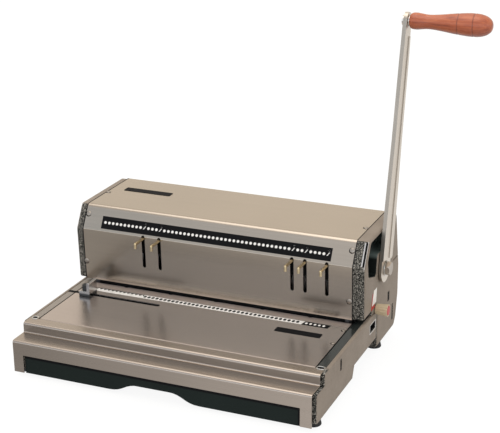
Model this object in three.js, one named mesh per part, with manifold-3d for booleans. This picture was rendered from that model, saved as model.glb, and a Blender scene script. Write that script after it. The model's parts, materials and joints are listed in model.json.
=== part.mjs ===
// Desk punch for coil binding: a low base with a flat table, a housing behind it, a lever at the right.
// Millimetres. X runs to the right as seen from the front, Y to the rear and Z up.
// The pieces are placed from the floor, the front skirt and the middle of the front cover.

import * as THREE from 'three';
import { mergeVertices } from 'three/addons/utils/BufferGeometryUtils.js';
import Module from 'manifold-3d';

const wasm = await Module();
wasm.setup();

// Clearances, and how far a cut runs past the surface it opens
const seatGap = 0.3;
const runGap = 0.5;
const overrun = 3;

// Outer planes of the machine
const leftFace = -218.4;
const rightFace = 220.6;
const baseFloorZ = 10;

// Front cover: skirt, ledge, riser and top strip, folded from one sheet
const coverSheet = 1.5;
const coverLeft = -215.6;
const coverRight = 215.6;
const skirtBottomZ = 7;
const ledgeZ = 53.1;
const riserY = 29.1;
const tableZ = 67.55;
const stripRearY = 47.2;
const coverBend = 1.2;

// Table plate
const tableLeft = -201;
const tableRight = 202.9;
const tableFrontY = 47.6;
const tableRearY = 194;
const tableFold = 9;

// Housing, drawn as the outline that the end covers and the sheets share
const panelFootY = 189;
const panelFootZ = 73.5;
const bendY = 186.2;
const bendZ = 151.2;
const browY = 204.6;
const topZ = 183.6;
const rearY = 345;
const topRearInset = 16;
const topRearY = rearY - topRearInset;
const rearBendZ = 102;
const rearFoldZ = 57;
const heelInset = 8;
const heelY = rearY - heelInset;
const heelZ = 22;
const toeInset = 9;
const heelToeY = heelY - toeInset;
const panelLeft = -207;
const panelRight = 203.3;

// Punch line: 55 holes at four to the inch
const holeCount = 55;
const holePitch = 6.2865;
const holeRowX = -3;
const holeRowY = 206.5;
const pinRadius = 1.9;
const pinSides = 6;
const pinTipZ = 84;

// Die set
const dieFrontY = 197;
const dieDepth = 19;
const dieTopZ = 67.2;
const dieThickness = 9.7;
const guideBottomZ = 73.5;
const guideThickness = 12.5;

// Margin setting: a fine pinion on the knob's shaft under a toothed backstop
const depthModule = 0.8;
const depthTeeth = 18;
const depthShaftRadius = 3;
const depthShaftY = 237.5;
const depthShaftZ = 73.6;

// Drive: module and teeth set how far the bar drops for a turn of the lever
const gearModule = 2;
const pinionTeeth = 19;
const pressureDegrees = 20;
const flankGap = 0.2;
const rootShare = 1.25;
const leverTravelDegrees = 100;
const shaftRadius = 10;
const shaftShare = 0.24186;
const shaftY = depthShaftY + (rearY - depthShaftY) * shaftShare;
const shaftZ = 125;

// Sheet and wall thicknesses
const capWall = 3;
const frameThickness = 6;
const frameLeft = -190;
const frameRight = 190;

const roundSides = 16;
const smallSides = 10;
const gripSides = 16;
const cornerSteps = 2;

// A rounded-over edge as shares of its radius: how far in across the face, and how far out along it
const softShares = [[0, 0], [0.08, 0.38], [0.29, 0.71], [1, 1]];

const group = new THREE.Group();

// A finish as the photograph shows it
function finish(colour, roughness, metalness) {
  return new THREE.MeshStandardMaterial({ color: colour, roughness, metalness });
}

const stainless = () => finish(0xb3a893, 0.32, 0.9);
const veinPaint = () => finish(0x6f6c66, 0.55, 0.4);
const darkPlastic = () => finish(0x2c3432, 0.5, 0);
const blackRubber = () => finish(0x181a1b, 0.9, 0);
const toolSteel = () => finish(0x8c8c8e, 0.35, 0.95);
const framePaint = () => finish(0x55585a, 0.6, 0.5);
const brass = () => finish(0xc9a566, 0.25, 1);
const chrome = () => finish(0xd4d6d8, 0.12, 1);

// A closed three.js geometry as a solid that can be cut and joined
function solidOf(geometry) {
  const bare = geometry.index ? geometry.toNonIndexed() : geometry.clone();
  bare.deleteAttribute('normal');
  bare.deleteAttribute('uv');
  const merged = mergeVertices(bare, 0.0001);
  const index = merged.index.array;
  const kept = [];
  for (let i = 0; i < index.length; i += 3) {
    const [a, b, c] = [index[i], index[i + 1], index[i + 2]];
    if (a !== b && b !== c && c !== a) kept.push(a, b, c);
  }
  return new wasm.Manifold(new wasm.Mesh({
    numProp: 3,
    vertProperties: merged.attributes.position.array,
    triVerts: new Uint32Array(kept),
  }));
}

// Adds a solid to the scene graph as a named mesh
function addPiece(name, solid, material) {
  const mesh = solid.getMesh();
  const geometry = new THREE.BufferGeometry();
  geometry.setAttribute('position', new THREE.BufferAttribute(mesh.vertProperties, 3));
  geometry.setIndex(new THREE.BufferAttribute(mesh.triVerts, 1));
  const piece = new THREE.Mesh(geometry, material);
  piece.name = name;
  group.add(piece);
}

// A block between two corners
function block(x0, x1, y0, y1, z0, z1) {
  const geometry = new THREE.BoxGeometry(x1 - x0, y1 - y0, z1 - z0);
  geometry.translate((x0 + x1) / 2, (y0 + y1) / 2, (z0 + z1) / 2);
  return solidOf(geometry);
}

const turnToX = new THREE.Matrix4().makeRotationZ(-Math.PI / 2);
const turnToY = new THREE.Matrix4();
const turnToZ = new THREE.Matrix4().makeRotationX(Math.PI / 2);

// A round bar or cone along X, between x0 and x1
function barX(radius, x0, x1, y, z, sides = roundSides, endRadius = radius) {
  const geometry = new THREE.CylinderGeometry(endRadius, radius, x1 - x0, sides);
  geometry.applyMatrix4(turnToX);
  geometry.translate((x0 + x1) / 2, y, z);
  return solidOf(geometry);
}

// The same along Y
function barY(radius, y0, y1, x, z, sides = roundSides) {
  const geometry = new THREE.CylinderGeometry(radius, radius, y1 - y0, sides);
  geometry.applyMatrix4(turnToY);
  geometry.translate(x, (y0 + y1) / 2, z);
  return solidOf(geometry);
}

// The same along Z
function barZ(radius, z0, z1, x, y, sides = roundSides, endRadius = radius) {
  const geometry = new THREE.CylinderGeometry(endRadius, radius, z1 - z0, sides);
  geometry.applyMatrix4(turnToZ);
  geometry.translate(x, y, (z0 + z1) / 2);
  return solidOf(geometry);
}

// Radius of a faceted hole whose flats clear a bar of the given radius
function holeFor(radius, gap, sides = roundSides) {
  return (radius + gap) / Math.cos(Math.PI / sides);
}

// An outline with each named corner turned into an arc: corners are [a, b] or [a, b, radius]
function rounded(corners, steps = cornerSteps) {
  const points = [];
  corners.forEach(([a, b, radius], i) => {
    const corner = new THREE.Vector2(a, b);
    if (!radius) {
      points.push(corner);
      return;
    }
    const before = corners[(i + corners.length - 1) % corners.length];
    const after = corners[(i + 1) % corners.length];
    const back = new THREE.Vector2(before[0], before[1]).sub(corner).normalize();
    const on = new THREE.Vector2(after[0], after[1]).sub(corner).normalize();
    const half = Math.acos(THREE.MathUtils.clamp(back.dot(on), -1, 1)) / 2;
    const inward = back.clone().add(on).normalize();
    const centre = corner.clone().addScaledVector(inward, radius / Math.sin(half));
    const start = corner.clone().addScaledVector(back, radius / Math.tan(half)).sub(centre);
    const end = corner.clone().addScaledVector(on, radius / Math.tan(half)).sub(centre);
    const turn = Math.atan2(start.cross(end), start.dot(end));
    for (let k = 0; k <= steps; k += 1) {
      const swung = start.clone().rotateAround(new THREE.Vector2(), turn * k / steps);
      points.push(centre.clone().add(swung));
    }
  });
  return points;
}

// The points of an anticlockwise outline, each moved inwards by a distance
function drawnIn(points, distance) {
  return points.map((point, i) => {
    const before = points[(i + points.length - 1) % points.length];
    const after = points[(i + 1) % points.length];
    const inLine = point.clone().sub(before).normalize();
    const outLine = after.clone().sub(point).normalize();
    const inNormal = new THREE.Vector2(-inLine.y, inLine.x);
    const outNormal = new THREE.Vector2(-outLine.y, outLine.x);
    const mitre = distance / (1 + inNormal.dot(outNormal));
    return point.clone().addScaledVector(inNormal.add(outNormal), mitre);
  });
}

// The corners of an anticlockwise outline moved inwards by a wall, with their radii
function inset(corners, wall) {
  const moved = drawnIn(corners.map(([a, b]) => new THREE.Vector2(a, b)), wall);
  return moved.map(({ x, y }, i) => [x, y, corners[i][2] ? Math.max(corners[i][2] - wall, 0) : 0]);
}

// A folded sheet: the line is its outer face, and the wall lies to the line's left
function foldedSheet(line, wall, bend) {
  const normals = line.slice(1).map(([a, b], i) => {
    const along = new THREE.Vector2(a - line[i][0], b - line[i][1]).normalize();
    return new THREE.Vector2(-along.y, along.x);
  });
  const inner = line.map(([a, b], i) => {
    const first = normals[Math.max(i - 1, 0)];
    const second = normals[Math.min(i, normals.length - 1)];
    const mitre = wall / (1 + first.dot(second));
    return [a + mitre * (first.x + second.x), b + mitre * (first.y + second.y)];
  });
  const bendAt = (i, outside) => {
    if (i === 0 || i === line.length - 1) return 0;
    const leftTurn = normals[i - 1].cross(normals[i]) > 0;
    return leftTurn === outside ? bend + wall : bend;
  };
  const outerCorners = line.map(([a, b], i) => [a, b, bendAt(i, true)]);
  const innerCorners = inner.map(([a, b], i) => [a, b, bendAt(i, false)]);
  return rounded([...outerCorners, ...innerCorners.reverse()], 2);
}

function extruded(points, depth, basis) {
  const shape = new THREE.Shape(points.map((p) => (p.isVector2 ? p : new THREE.Vector2(p[0], p[1]))));
  const geometry = new THREE.ExtrudeGeometry(shape, { depth, bevelEnabled: false });
  return geometry.applyMatrix4(basis);
}

const axisX = new THREE.Vector3(1, 0, 0);
const axisY = new THREE.Vector3(0, 1, 0);
const axisZ = new THREE.Vector3(0, 0, 1);
const sideBasis = new THREE.Matrix4().makeBasis(axisY, axisZ, axisX);
const frontBasis = new THREE.Matrix4().makeBasis(axisX, axisZ, axisY.clone().negate());

// A plate whose outline lies in the YZ plane
function plateX(points, x0, x1) {
  return solidOf(extruded(points, x1 - x0, sideBasis).translate(x0, 0, 0));
}

// A plate whose outline lies in the XZ plane
function plateY(points, y0, y1) {
  return solidOf(extruded(points, y1 - y0, frontBasis).translate(0, y1, 0));
}

// A plate whose outline lies in the XY plane
function plateZ(points, z0, z1) {
  return solidOf(extruded(points, z1 - z0, new THREE.Matrix4()).translate(0, 0, z0));
}

// A plate in the YZ plane whose outer edge is rounded over, as moulded and cast end covers are
function softPlateX(points, innerX, outerX, soft) {
  const out = Math.sign(outerX - innerX);
  const levels = [[innerX, 0], ...softShares.map(([across, along]) => [
    outerX - out * soft * (1 - along), soft * across,
  ])];
  if (out < 0) levels.reverse();
  const keyOf = (x, y) => `${Math.fround(x)} ${Math.fround(y)}`;
  const placeOf = new Map(points.map((p, i) => [keyOf(p.x, p.y), i]));
  const rings = levels.map(([, distance]) => drawnIn(points, distance));
  const geometry = new THREE.ExtrudeGeometry(new THREE.Shape(points), {
    depth: levels.length - 1, steps: levels.length - 1, bevelEnabled: false,
  });
  const position = geometry.attributes.position;
  for (let i = 0; i < position.count; i += 1) {
    const level = Math.round(position.getZ(i));
    const point = rings[level][placeOf.get(keyOf(position.getX(i), position.getY(i)))];
    position.setXYZ(i, point.x, point.y, levels[level][0]);
  }
  return solidOf(geometry.applyMatrix4(sideBasis));
}

// A row of equal places centred on a point
function row(count, pitch, centre) {
  return Array.from({ length: count }, (_, i) => centre + (i - (count - 1) / 2) * pitch);
}

const join = (solids) => solids.reduce((sum, next) => sum.add(next));

// Front cover
const drawerLeft = -200.3;
const drawerRight = 199.8;
const drawerTopZ = 32.8;

function frontCover() {
  const line = [
    [stripRearY, tableZ], [riserY, tableZ], [riserY, ledgeZ], [0, ledgeZ], [0, skirtBottomZ],
  ];
  const sheet = plateX(foldedSheet(line, coverSheet, coverBend), coverLeft, coverRight);
  const mouth = block(
    drawerLeft, drawerRight, -overrun, coverSheet + overrun, skirtBottomZ - overrun, drawerTopZ,
  );
  return sheet.subtract(mouth);
}

addPiece('base_front_cover', frontCover(), stainless());

// Table plate: folded down at both ends, slotted for the side guide and notched at the throat
const guideSlotLeft = -187;
const guideSlotRight = -69;
const guideSlotY = 148.4;
const guideSlotWidth = 4;
const notchCount = 5;
const notchHoles = 11.3;
const notchRadius = 5;
const notchSides = 12;

function tablePlate() {
  const line = [
    [tableRearY, tableZ - tableFold], [tableRearY, tableZ],
    [tableFrontY, tableZ], [tableFrontY, tableZ - tableFold],
  ];
  const sheet = plateX(foldedSheet(line, coverSheet, coverBend), tableLeft, tableRight);
  const slot = block(
    guideSlotLeft, guideSlotRight, guideSlotY - guideSlotWidth / 2, guideSlotY + guideSlotWidth / 2,
    tableZ - coverSheet - overrun, tableZ + overrun,
  );
  const notches = row(notchCount, notchHoles * holePitch, 0).map((x) => barZ(
    notchRadius, tableZ - coverSheet - overrun, tableZ + overrun, x, tableRearY, notchSides,
  ));
  return sheet.subtract(join([slot, ...notches]));
}

addPiece('table_plate', tablePlate(), stainless());

// Base end caps: stepped like the front cover, set back from it, with a deck that carries the table
const capSetBack = 3.2;
const capFrontY = coverSheet + capSetBack;
const capLedgeZ = ledgeZ - coverSheet - seatGap;
const capRiserY = riserY + coverSheet + capSetBack;
const deckZ = tableZ - coverSheet - seatGap;
const lipFrontY = stripRearY + seatGap;
const lipRearY = 51;
const capRearY = 246.5;
const capInnerLeft = tableLeft - seatGap;
const capInnerRight = tableRight + seatGap;
const deckReach = 7;
const ribWidth = 4.8;
const archFrontY = 143.5;
const archRearY = 151;
const archZ = 26;
const capCorner = 4;
const capSoft = 2.5;
const ventY = 94.5;
const ventWidth = 2.6;
const ventBottomZ = 46.5;
const ventTopZ = 60;

function baseCap(outerX, innerX) {
  const out = Math.sign(outerX - innerX);
  const outline = [
    [capFrontY, baseFloorZ, capCorner], [archFrontY, baseFloorZ], [archRearY, archZ], [capRearY, archZ],
    [capRearY, tableZ], [capRiserY, tableZ, capCorner], [capRiserY, capLedgeZ],
    [capFrontY, capLedgeZ, capCorner],
  ];
  const body = softPlateX(rounded(outline), innerX, outerX, capSoft);
  const hollowEnd = outerX - out * capWall;
  const hollowStart = innerX - out * overrun;
  const hollow = plateX(
    rounded(inset(outline, capWall)), Math.min(hollowStart, hollowEnd), Math.max(hollowStart, hollowEnd),
  );
  const ribX = outerX - out * ribWidth;
  const trayReach = innerX - out * overrun;
  const tray = block(
    Math.min(ribX, trayReach), Math.max(ribX, trayReach), lipRearY, capRearY + overrun,
    deckZ, tableZ + overrun,
  );
  const underStrip = block(
    Math.min(coverSide(out), trayReach), Math.max(coverSide(out), trayReach),
    capRiserY - overrun, lipFrontY, deckZ, tableZ + overrun,
  );
  const deckEnd = innerX - out * deckReach;
  const deck = block(
    Math.min(innerX, deckEnd), Math.max(innerX, deckEnd),
    tableFrontY + coverSheet + runGap, tableRearY - coverSheet - runGap, deckZ - capWall, deckZ,
  );
  const vent = block(
    outerX - overrun - capWall, outerX + overrun + capWall, ventY - ventWidth / 2, ventY + ventWidth / 2,
    ventBottomZ, ventTopZ,
  );
  return body.subtract(hollow).subtract(tray).subtract(underStrip).add(deck).subtract(vent);
}

// The plane just past the front cover's edge, where the cap's top may rise beside it
function coverSide(out) {
  return out > 0 ? coverRight + seatGap : coverLeft - seatGap;
}

// Square port in the right cap, with a dark cup let into it
const portFrontY = 212.7;
const portRearY = 237;
const portBottomZ = 45;
const portTopZ = 58;
const portRim = 2;
const portDepth = 9;

const portCut = block(
  rightFace - capWall - overrun, rightFace + overrun, portFrontY, portRearY, portBottomZ, portTopZ,
);

addPiece('base_cap_left', baseCap(leftFace, capInnerLeft), veinPaint());
addPiece('base_cap_right', baseCap(rightFace, capInnerRight).subtract(portCut), veinPaint());

function portCup() {
  const outside = block(
    rightFace - portDepth, rightFace - seatGap, portFrontY + seatGap, portRearY - seatGap,
    portBottomZ + seatGap, portTopZ - seatGap,
  );
  const inside = block(
    rightFace - portDepth + portRim, rightFace + overrun, portFrontY + portRim, portRearY - portRim,
    portBottomZ + portRim, portTopZ - portRim,
  );
  return outside.subtract(inside);
}

addPiece('square_port_cup', portCup(), darkPlastic());

// Dark strips let into the caps beside the table
function tableStrip(x0, x1) {
  return block(x0, x1, lipRearY + seatGap, capRearY - seatGap, deckZ + seatGap, tableZ - seatGap);
}

addPiece(
  'table_strip_left',
  tableStrip(leftFace + ribWidth + seatGap, capInnerLeft - seatGap),
  darkPlastic(),
);
addPiece(
  'table_strip_right',
  tableStrip(capInnerRight + seatGap, rightFace - ribWidth - seatGap),
  darkPlastic(),
);

// Housing cover: lower facet, upper facet and top from one sheet, slotted for the release pulls
const pulledHoles = [11, 15, 47, 50, 55];
const slotWidth = 5.2;
const slotBottomZ = 103.7;
const slotTopZ = 153;
const slotCorner = 2.5;
const housingBend = 2.5;

const pullX = (hole) => holeRowX + (hole - (holeCount + 1) / 2) * holePitch;

function housingCover() {
  const line = [
    [topRearY, topZ], [browY, topZ], [bendY, bendZ], [panelFootY, panelFootZ],
  ];
  const sheet = plateX(
    foldedSheet(line, coverSheet, housingBend), panelLeft + seatGap, panelRight - seatGap,
  );
  const slots = pulledHoles.map((hole) => plateY(
    rounded([
      [pullX(hole) - slotWidth / 2, slotBottomZ, slotCorner],
      [pullX(hole) + slotWidth / 2, slotBottomZ, slotCorner],
      [pullX(hole) + slotWidth / 2, slotTopZ, slotCorner],
      [pullX(hole) - slotWidth / 2, slotTopZ, slotCorner],
    ], 2), bendY - overrun, panelFootY + coverSheet + overrun,
  ));
  return sheet.subtract(join(slots));
}

addPiece('housing_cover', housingCover(), stainless());

// Rear cover: tucked under the top and down to the heel
const tuck = 12;

function rearCover() {
  const down = coverSheet + seatGap;
  const line = [
    [heelToeY - tuck, baseFloorZ], [heelToeY, baseFloorZ], [heelY, heelZ], [rearY, rearFoldZ],
    [rearY, rearBendZ], [topRearY, topZ - down], [topRearY - tuck, topZ - down],
  ];
  return plateX(foldedSheet(line, coverSheet, coverBend), panelLeft + seatGap, panelRight - seatGap);
}

addPiece('rear_cover', rearCover(), stainless());

// Housing side covers, open inside, each with a carrying recess
const sideFootZ = 75;
const sideStepY = 222;
const sideSeatZ = tableZ + seatGap;
const lobeFrontY = capRearY + seatGap;
const heelCorner = 5;
const heelBend = 8;
const rearBend = 10;
const topCorner = 5;
const recessFrontY = 198.5;
const recessBrowZ = 157;
const recessTopFrontY = 211;
const recessFootY = 202;
const recessRearInset = 55;
const recessRearY = rearY - recessRearInset;
const recessTopZ = 179.8;
const recessFloorZ = 152;
const recessLowZ = 133;
const recessLowRearY = 214;
const recessSlopeRearY = 225;
const recessCorner = 4;
const sideSoft = 4;
const seamZ = 115.5;
const seamWidth = 2.6;
const seamLength = 31;
const seamFrontY = rearY - seamLength;
const seamDepth = 1.2;
const keyholeInset = 48.5;
const keyholeY = rearY - keyholeInset;
const keyholeWidth = 5.5;
const keyholeBottomZ = 63;
const keyholeTopZ = 75;
const heelSlotInset = 11;
const heelSlotY = heelToeY - heelSlotInset;
const heelSlotBottomZ = 24;
const heelSlotTopZ = 49;

const sideOutline = [
  [panelFootY, sideFootZ], [sideStepY, sideFootZ], [sideStepY, sideSeatZ], [lobeFrontY, sideSeatZ],
  [lobeFrontY, baseFloorZ], [heelToeY, baseFloorZ, heelCorner], [heelY, heelZ, heelBend],
  [rearY, rearFoldZ, rearBend], [rearY, rearBendZ, rearBend], [topRearY, topZ, topCorner],
  [browY, topZ, topCorner], [bendY, bendZ, topCorner],
];

const recessOutline = [
  [recessFootY, recessLowZ, recessCorner], [recessLowRearY, recessLowZ, recessCorner],
  [recessSlopeRearY, recessFloorZ, recessCorner], [recessRearY, recessFloorZ, recessCorner],
  [recessRearY, recessTopZ, recessCorner], [recessTopFrontY, recessTopZ, recessCorner],
  [recessFrontY, recessBrowZ, recessCorner],
];

function sideCover(outerX, innerX) {
  const out = Math.sign(outerX - innerX);
  const body = softPlateX(rounded(sideOutline), innerX, outerX, sideSoft);
  const hollowEnd = outerX - out * capWall;
  const hollowStart = innerX - out * overrun;
  const low = Math.min(hollowStart, hollowEnd);
  const high = Math.max(hollowStart, hollowEnd);
  const hollow = plateX(rounded(inset(sideOutline, capWall)), low, high);
  const faceLow = Math.min(outerX + out * overrun, hollowEnd - out * overrun);
  const faceHigh = Math.max(outerX + out * overrun, hollowEnd - out * overrun);
  const windowCut = plateX(rounded(recessOutline), faceLow, faceHigh);
  const seam = block(
    Math.min(outerX + out * overrun, outerX - out * seamDepth),
    Math.max(outerX + out * overrun, outerX - out * seamDepth),
    seamFrontY, rearY + overrun, seamZ, seamZ + seamWidth,
  );
  const keyhole = block(
    faceLow, faceHigh, keyholeY - keyholeWidth / 2, keyholeY + keyholeWidth / 2,
    keyholeBottomZ, keyholeTopZ,
  );
  const heelSlot = block(
    faceLow, faceHigh, heelSlotY - keyholeWidth / 2, heelSlotY + keyholeWidth / 2,
    heelSlotBottomZ, heelSlotTopZ,
  );
  return body.subtract(hollow).subtract(windowCut).subtract(seam).subtract(keyhole).subtract(heelSlot);
}

const rightCoverHoles = barX(
  holeFor(shaftRadius, runGap), rightFace - capWall - overrun, rightFace + overrun, shaftY, shaftZ,
).add(barX(
  holeFor(depthShaftRadius, runGap), panelRight - overrun, rightFace + overrun, depthShaftY, depthShaftZ,
));

addPiece('side_cover_left', sideCover(leftFace, panelLeft), veinPaint());
addPiece('side_cover_right', sideCover(rightFace, panelRight).subtract(rightCoverHoles), veinPaint());

// Recess cups: dark mouldings let into the windows, with a collar behind the wall
const cupWall = 1.6;
const cupDepthRight = 19;
const cupDepthLeft = 13.5;

function recessCup(outerX, out, depth) {
  const backX = outerX - out * depth;
  const mouthX = outerX - out * seatGap;
  const low = Math.min(backX, mouthX);
  const high = Math.max(backX, mouthX);
  const outside = plateX(rounded(inset(recessOutline, seatGap)), low, high);
  const insideEnd = backX + out * cupWall;
  const insideMouth = outerX + out * overrun;
  const inside = plateX(
    rounded(inset(recessOutline, seatGap + cupWall)),
    Math.min(insideEnd, insideMouth), Math.max(insideEnd, insideMouth),
  );
  return outside.subtract(inside);
}

addPiece('recess_cup_left', recessCup(leftFace, -1, cupDepthLeft), darkPlastic());
addPiece('recess_cup_right', recessCup(rightFace, 1, cupDepthRight), darkPlastic());

// Feet: tapered rubber under the four corners
const footTopRadius = 9;
const footRadius = 11;
const footInset = 12.5;
const footFrontY = 26;
const footRearShare = 0.31;
const footRearY = lobeFrontY + footRearShare * (heelToeY - lobeFrontY);

function foot(x, y) {
  return barZ(footRadius, 0, baseFloorZ - seatGap, x, y, roundSides, footTopRadius);
}

for (const [side, x] of [['left', leftFace + footInset], ['right', rightFace - footInset]]) {
  addPiece(`foot_front_${side}`, foot(x, footFrontY), blackRubber());
  addPiece(`foot_rear_${side}`, foot(x, footRearY), blackRubber());
}

// Base pan: floor behind the drawer mouth, with side walls and drawer runners
const panSheet = 2;
const panEdge = 0.5;
const panLeft = frameLeft - frameThickness + panEdge;
const panRight = frameRight + frameThickness - panEdge;
const panFrontY = tableFrontY + coverSheet + runGap;
const panRearY = tableRearY - coverSheet - runGap;
const panFloorFrontY = 62;
const panWallTopZ = deckZ - capWall - seatGap;
const runnerWidth = 10;
const runnerTopZ = 16.5;

function basePan() {
  const floor = block(panLeft, panRight, panFloorFrontY, heelToeY - tuck - seatGap,
    baseFloorZ, baseFloorZ + panSheet);
  const sides = [panLeft, panRight - panSheet].map((x) => block(
    x, x + panSheet, panFrontY, panRearY, baseFloorZ, panWallTopZ,
  ));
  const runners = [panLeft, panRight - runnerWidth].map((x) => block(
    x, x + runnerWidth, panFrontY, panRearY, runnerTopZ - panSheet, runnerTopZ,
  ));
  return join([floor, ...sides, ...runners]);
}

addPiece('base_pan', basePan(), framePaint());

// Side frames: carry the shaft, the die set and the ways that the punch bar runs in
const frameFootZ = baseFloorZ + panSheet + seatGap;
const frameTopZ = 178;
const barFrontY = 198;
const barDepth = 17;
const barBottomZ = 124;
const barHeight = 36;
const tongueInset = 2;
const bushingRadius = 14;
const frameHoleInset = 40;
const frameHoleY = heelY - tuck - frameHoleInset;
const frameHoleZ = 62;
const frameHoleRadius = 26;
const barTravel = gearModule * pinionTeeth / 2 * leverTravelDegrees * Math.PI / 180;

const frameBrowY = 208;
const frameBrowZ = 157;
const frameCorner = 6;

const frameOutline = [
  [dieFrontY, frameFootZ], [heelToeY - tuck, frameFootZ], [heelY - tuck, rearFoldZ],
  [heelY - tuck, rearBendZ], [topRearY - tuck, frameTopZ, frameCorner],
  [frameBrowY, frameTopZ, frameCorner], [dieFrontY, frameBrowZ, frameCorner],
];

function sideFrame(x0) {
  const x1 = x0 + frameThickness;
  const plate = plateX(rounded(frameOutline), x0, x1);
  const way = block(
    x0 - overrun, x1 + overrun,
    barFrontY + tongueInset - runGap, barFrontY + barDepth - tongueInset + runGap,
    barBottomZ - barTravel - 2 * runGap, barBottomZ + barHeight + 2 * runGap,
  );
  const cuts = [
    way,
    barX(holeFor(bushingRadius, seatGap), x0 - overrun, x1 + overrun, shaftY, shaftZ),
    barX(holeFor(depthShaftRadius, runGap), x0 - overrun, x1 + overrun, depthShaftY, depthShaftZ),
    barX(frameHoleRadius, x0 - overrun, x1 + overrun, frameHoleY, frameHoleZ),
  ];
  return plate.subtract(join(cuts));
}

addPiece('side_frame_left', sideFrame(frameLeft - frameThickness), framePaint());
addPiece('side_frame_right', sideFrame(frameRight), framePaint());

// Shaft bushings: flanged inside each frame
const bushingFlange = 2;
const bushingFlangeRadius = 17;

function bushing(frameX, out) {
  const inner = frameX - out * (bushingFlange + seatGap);
  const outer = frameX + out * frameThickness;
  const flangeFace = frameX - out * seatGap;
  const barrel = barX(bushingRadius, Math.min(inner, outer), Math.max(inner, outer), shaftY, shaftZ);
  const flange = barX(
    bushingFlangeRadius, Math.min(inner, flangeFace), Math.max(inner, flangeFace), shaftY, shaftZ,
  );
  const bore = barX(
    holeFor(shaftRadius, seatGap), Math.min(inner, outer) - overrun, Math.max(inner, outer) + overrun,
    shaftY, shaftZ,
  );
  return barrel.add(flange).subtract(bore);
}

addPiece('shaft_bushing_left', bushing(frameLeft, -1), brass());
addPiece('shaft_bushing_right', bushing(frameRight, 1), brass());

// Die plate and pin guide plate: one drilled pattern, and the paper goes between them
const plateLeft = frameLeft + seatGap;
const plateRight = frameRight - seatGap;
const pinHoleRadius = holeFor(pinRadius, seatGap, pinSides);

function drilledPlate(z0, z1) {
  const plate = block(plateLeft, plateRight, dieFrontY, dieFrontY + dieDepth, z0, z1);
  const holes = row(holeCount, holePitch, holeRowX).map((x) => barZ(
    pinHoleRadius, z0 - overrun, z1 + overrun, x, holeRowY, pinSides,
  ));
  return plate.subtract(join(holes));
}

addPiece('die_plate', drilledPlate(dieTopZ - dieThickness, dieTopZ), toolSteel());
addPiece('pin_guide_plate', drilledPlate(guideBottomZ, guideBottomZ + guideThickness), toolSteel());

// Punch bar: runs in the side frames on two tongues and is bored for the release pulls
const lugZ = 129;
const lugRadius = 2;
const lugReach = 10;
const springX = 172;
const pullRadius = 2.1;
const pullSides = 8;
const pullZ = 148.5;
const pullBoreDepth = 11;
const rackX = 150;
const rackWidth = 12;

function punchBar() {
  const body = block(
    plateLeft + runGap, plateRight - runGap, barFrontY, barFrontY + barDepth,
    barBottomZ, barBottomZ + barHeight,
  );
  const tongues = block(
    frameLeft - frameThickness + runGap, frameRight + frameThickness - runGap,
    barFrontY + tongueInset, barFrontY + barDepth - tongueInset, barBottomZ, barBottomZ + barHeight,
  );
  const lugs = [-springX, springX].map((x) => barY(
    lugRadius, barFrontY + barDepth - tongueInset, barFrontY + barDepth + lugReach, x, lugZ, smallSides,
  ));
  const bores = pulledHoles.map((hole) => barY(
    holeFor(pullRadius, seatGap, pullSides), barFrontY - overrun, barFrontY + pullBoreDepth,
    pullX(hole), pullZ, pullSides,
  ));
  return join([body, tongues, ...lugs]).subtract(join(bores));
}

addPiece('punch_bar', punchBar(), toolSteel());

// Punch pins: one comb under the bar, with a retaining strip at its head
const combStrip = 3.6;
const combDepth = 11;

function punchPins() {
  const stripTop = barBottomZ - seatGap;
  const rowHalf = (holeCount - 1) / 2 * holePitch + combDepth / 2;
  const strip = block(
    holeRowX - rowHalf, holeRowX + rowHalf, holeRowY - combDepth / 2, holeRowY + combDepth / 2,
    stripTop - combStrip, stripTop,
  );
  const pins = row(holeCount, holePitch, holeRowX).map((x) => barZ(
    pinRadius, pinTipZ, stripTop - combStrip / 2, x, holeRowY, pinSides,
  ));
  return join([strip, ...pins]);
}

addPiece('punch_pin_comb', punchPins(), toolSteel());

// The involute flank of a gear: half the tooth's angle at a radius
function halfAngleAt(radius, pitchRadius, pitchHalfAngle) {
  const pressure = THREE.MathUtils.degToRad(pressureDegrees);
  const baseRadius = pitchRadius * Math.cos(pressure);
  const angle = Math.acos(Math.min(baseRadius / radius, 1));
  const involute = (a) => Math.tan(a) - a;
  return pitchHalfAngle + involute(pressure) - involute(angle);
}

// Outline of a spur gear about its own centre, one tooth centred on the given direction
function gearOutline(module, teeth, gap, direction, flankShares) {
  const pitchRadius = module * teeth / 2;
  const baseRadius = pitchRadius * Math.cos(THREE.MathUtils.degToRad(pressureDegrees));
  const tipRadius = pitchRadius + module;
  const rootRadius = pitchRadius - rootShare * module;
  const pitchHalf = Math.PI / (2 * teeth) - gap / (2 * pitchRadius);
  const flank = flankShares.map((share) => {
    const radius = baseRadius + (tipRadius - baseRadius) * share;
    return [radius, halfAngleAt(radius, pitchRadius, pitchHalf)];
  });
  flank.unshift([rootRadius, halfAngleAt(baseRadius, pitchRadius, pitchHalf)]);
  const points = [];
  for (let tooth = 0; tooth < teeth; tooth += 1) {
    const centre = direction + 2 * Math.PI * tooth / teeth;
    const at = (radius, angle) => new THREE.Vector2(radius * Math.cos(angle), radius * Math.sin(angle));
    flank.forEach(([radius, half]) => points.push(at(radius, centre - half)));
    [...flank].reverse().forEach(([radius, half]) => points.push(at(radius, centre + half)));
  }
  return points;
}

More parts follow.
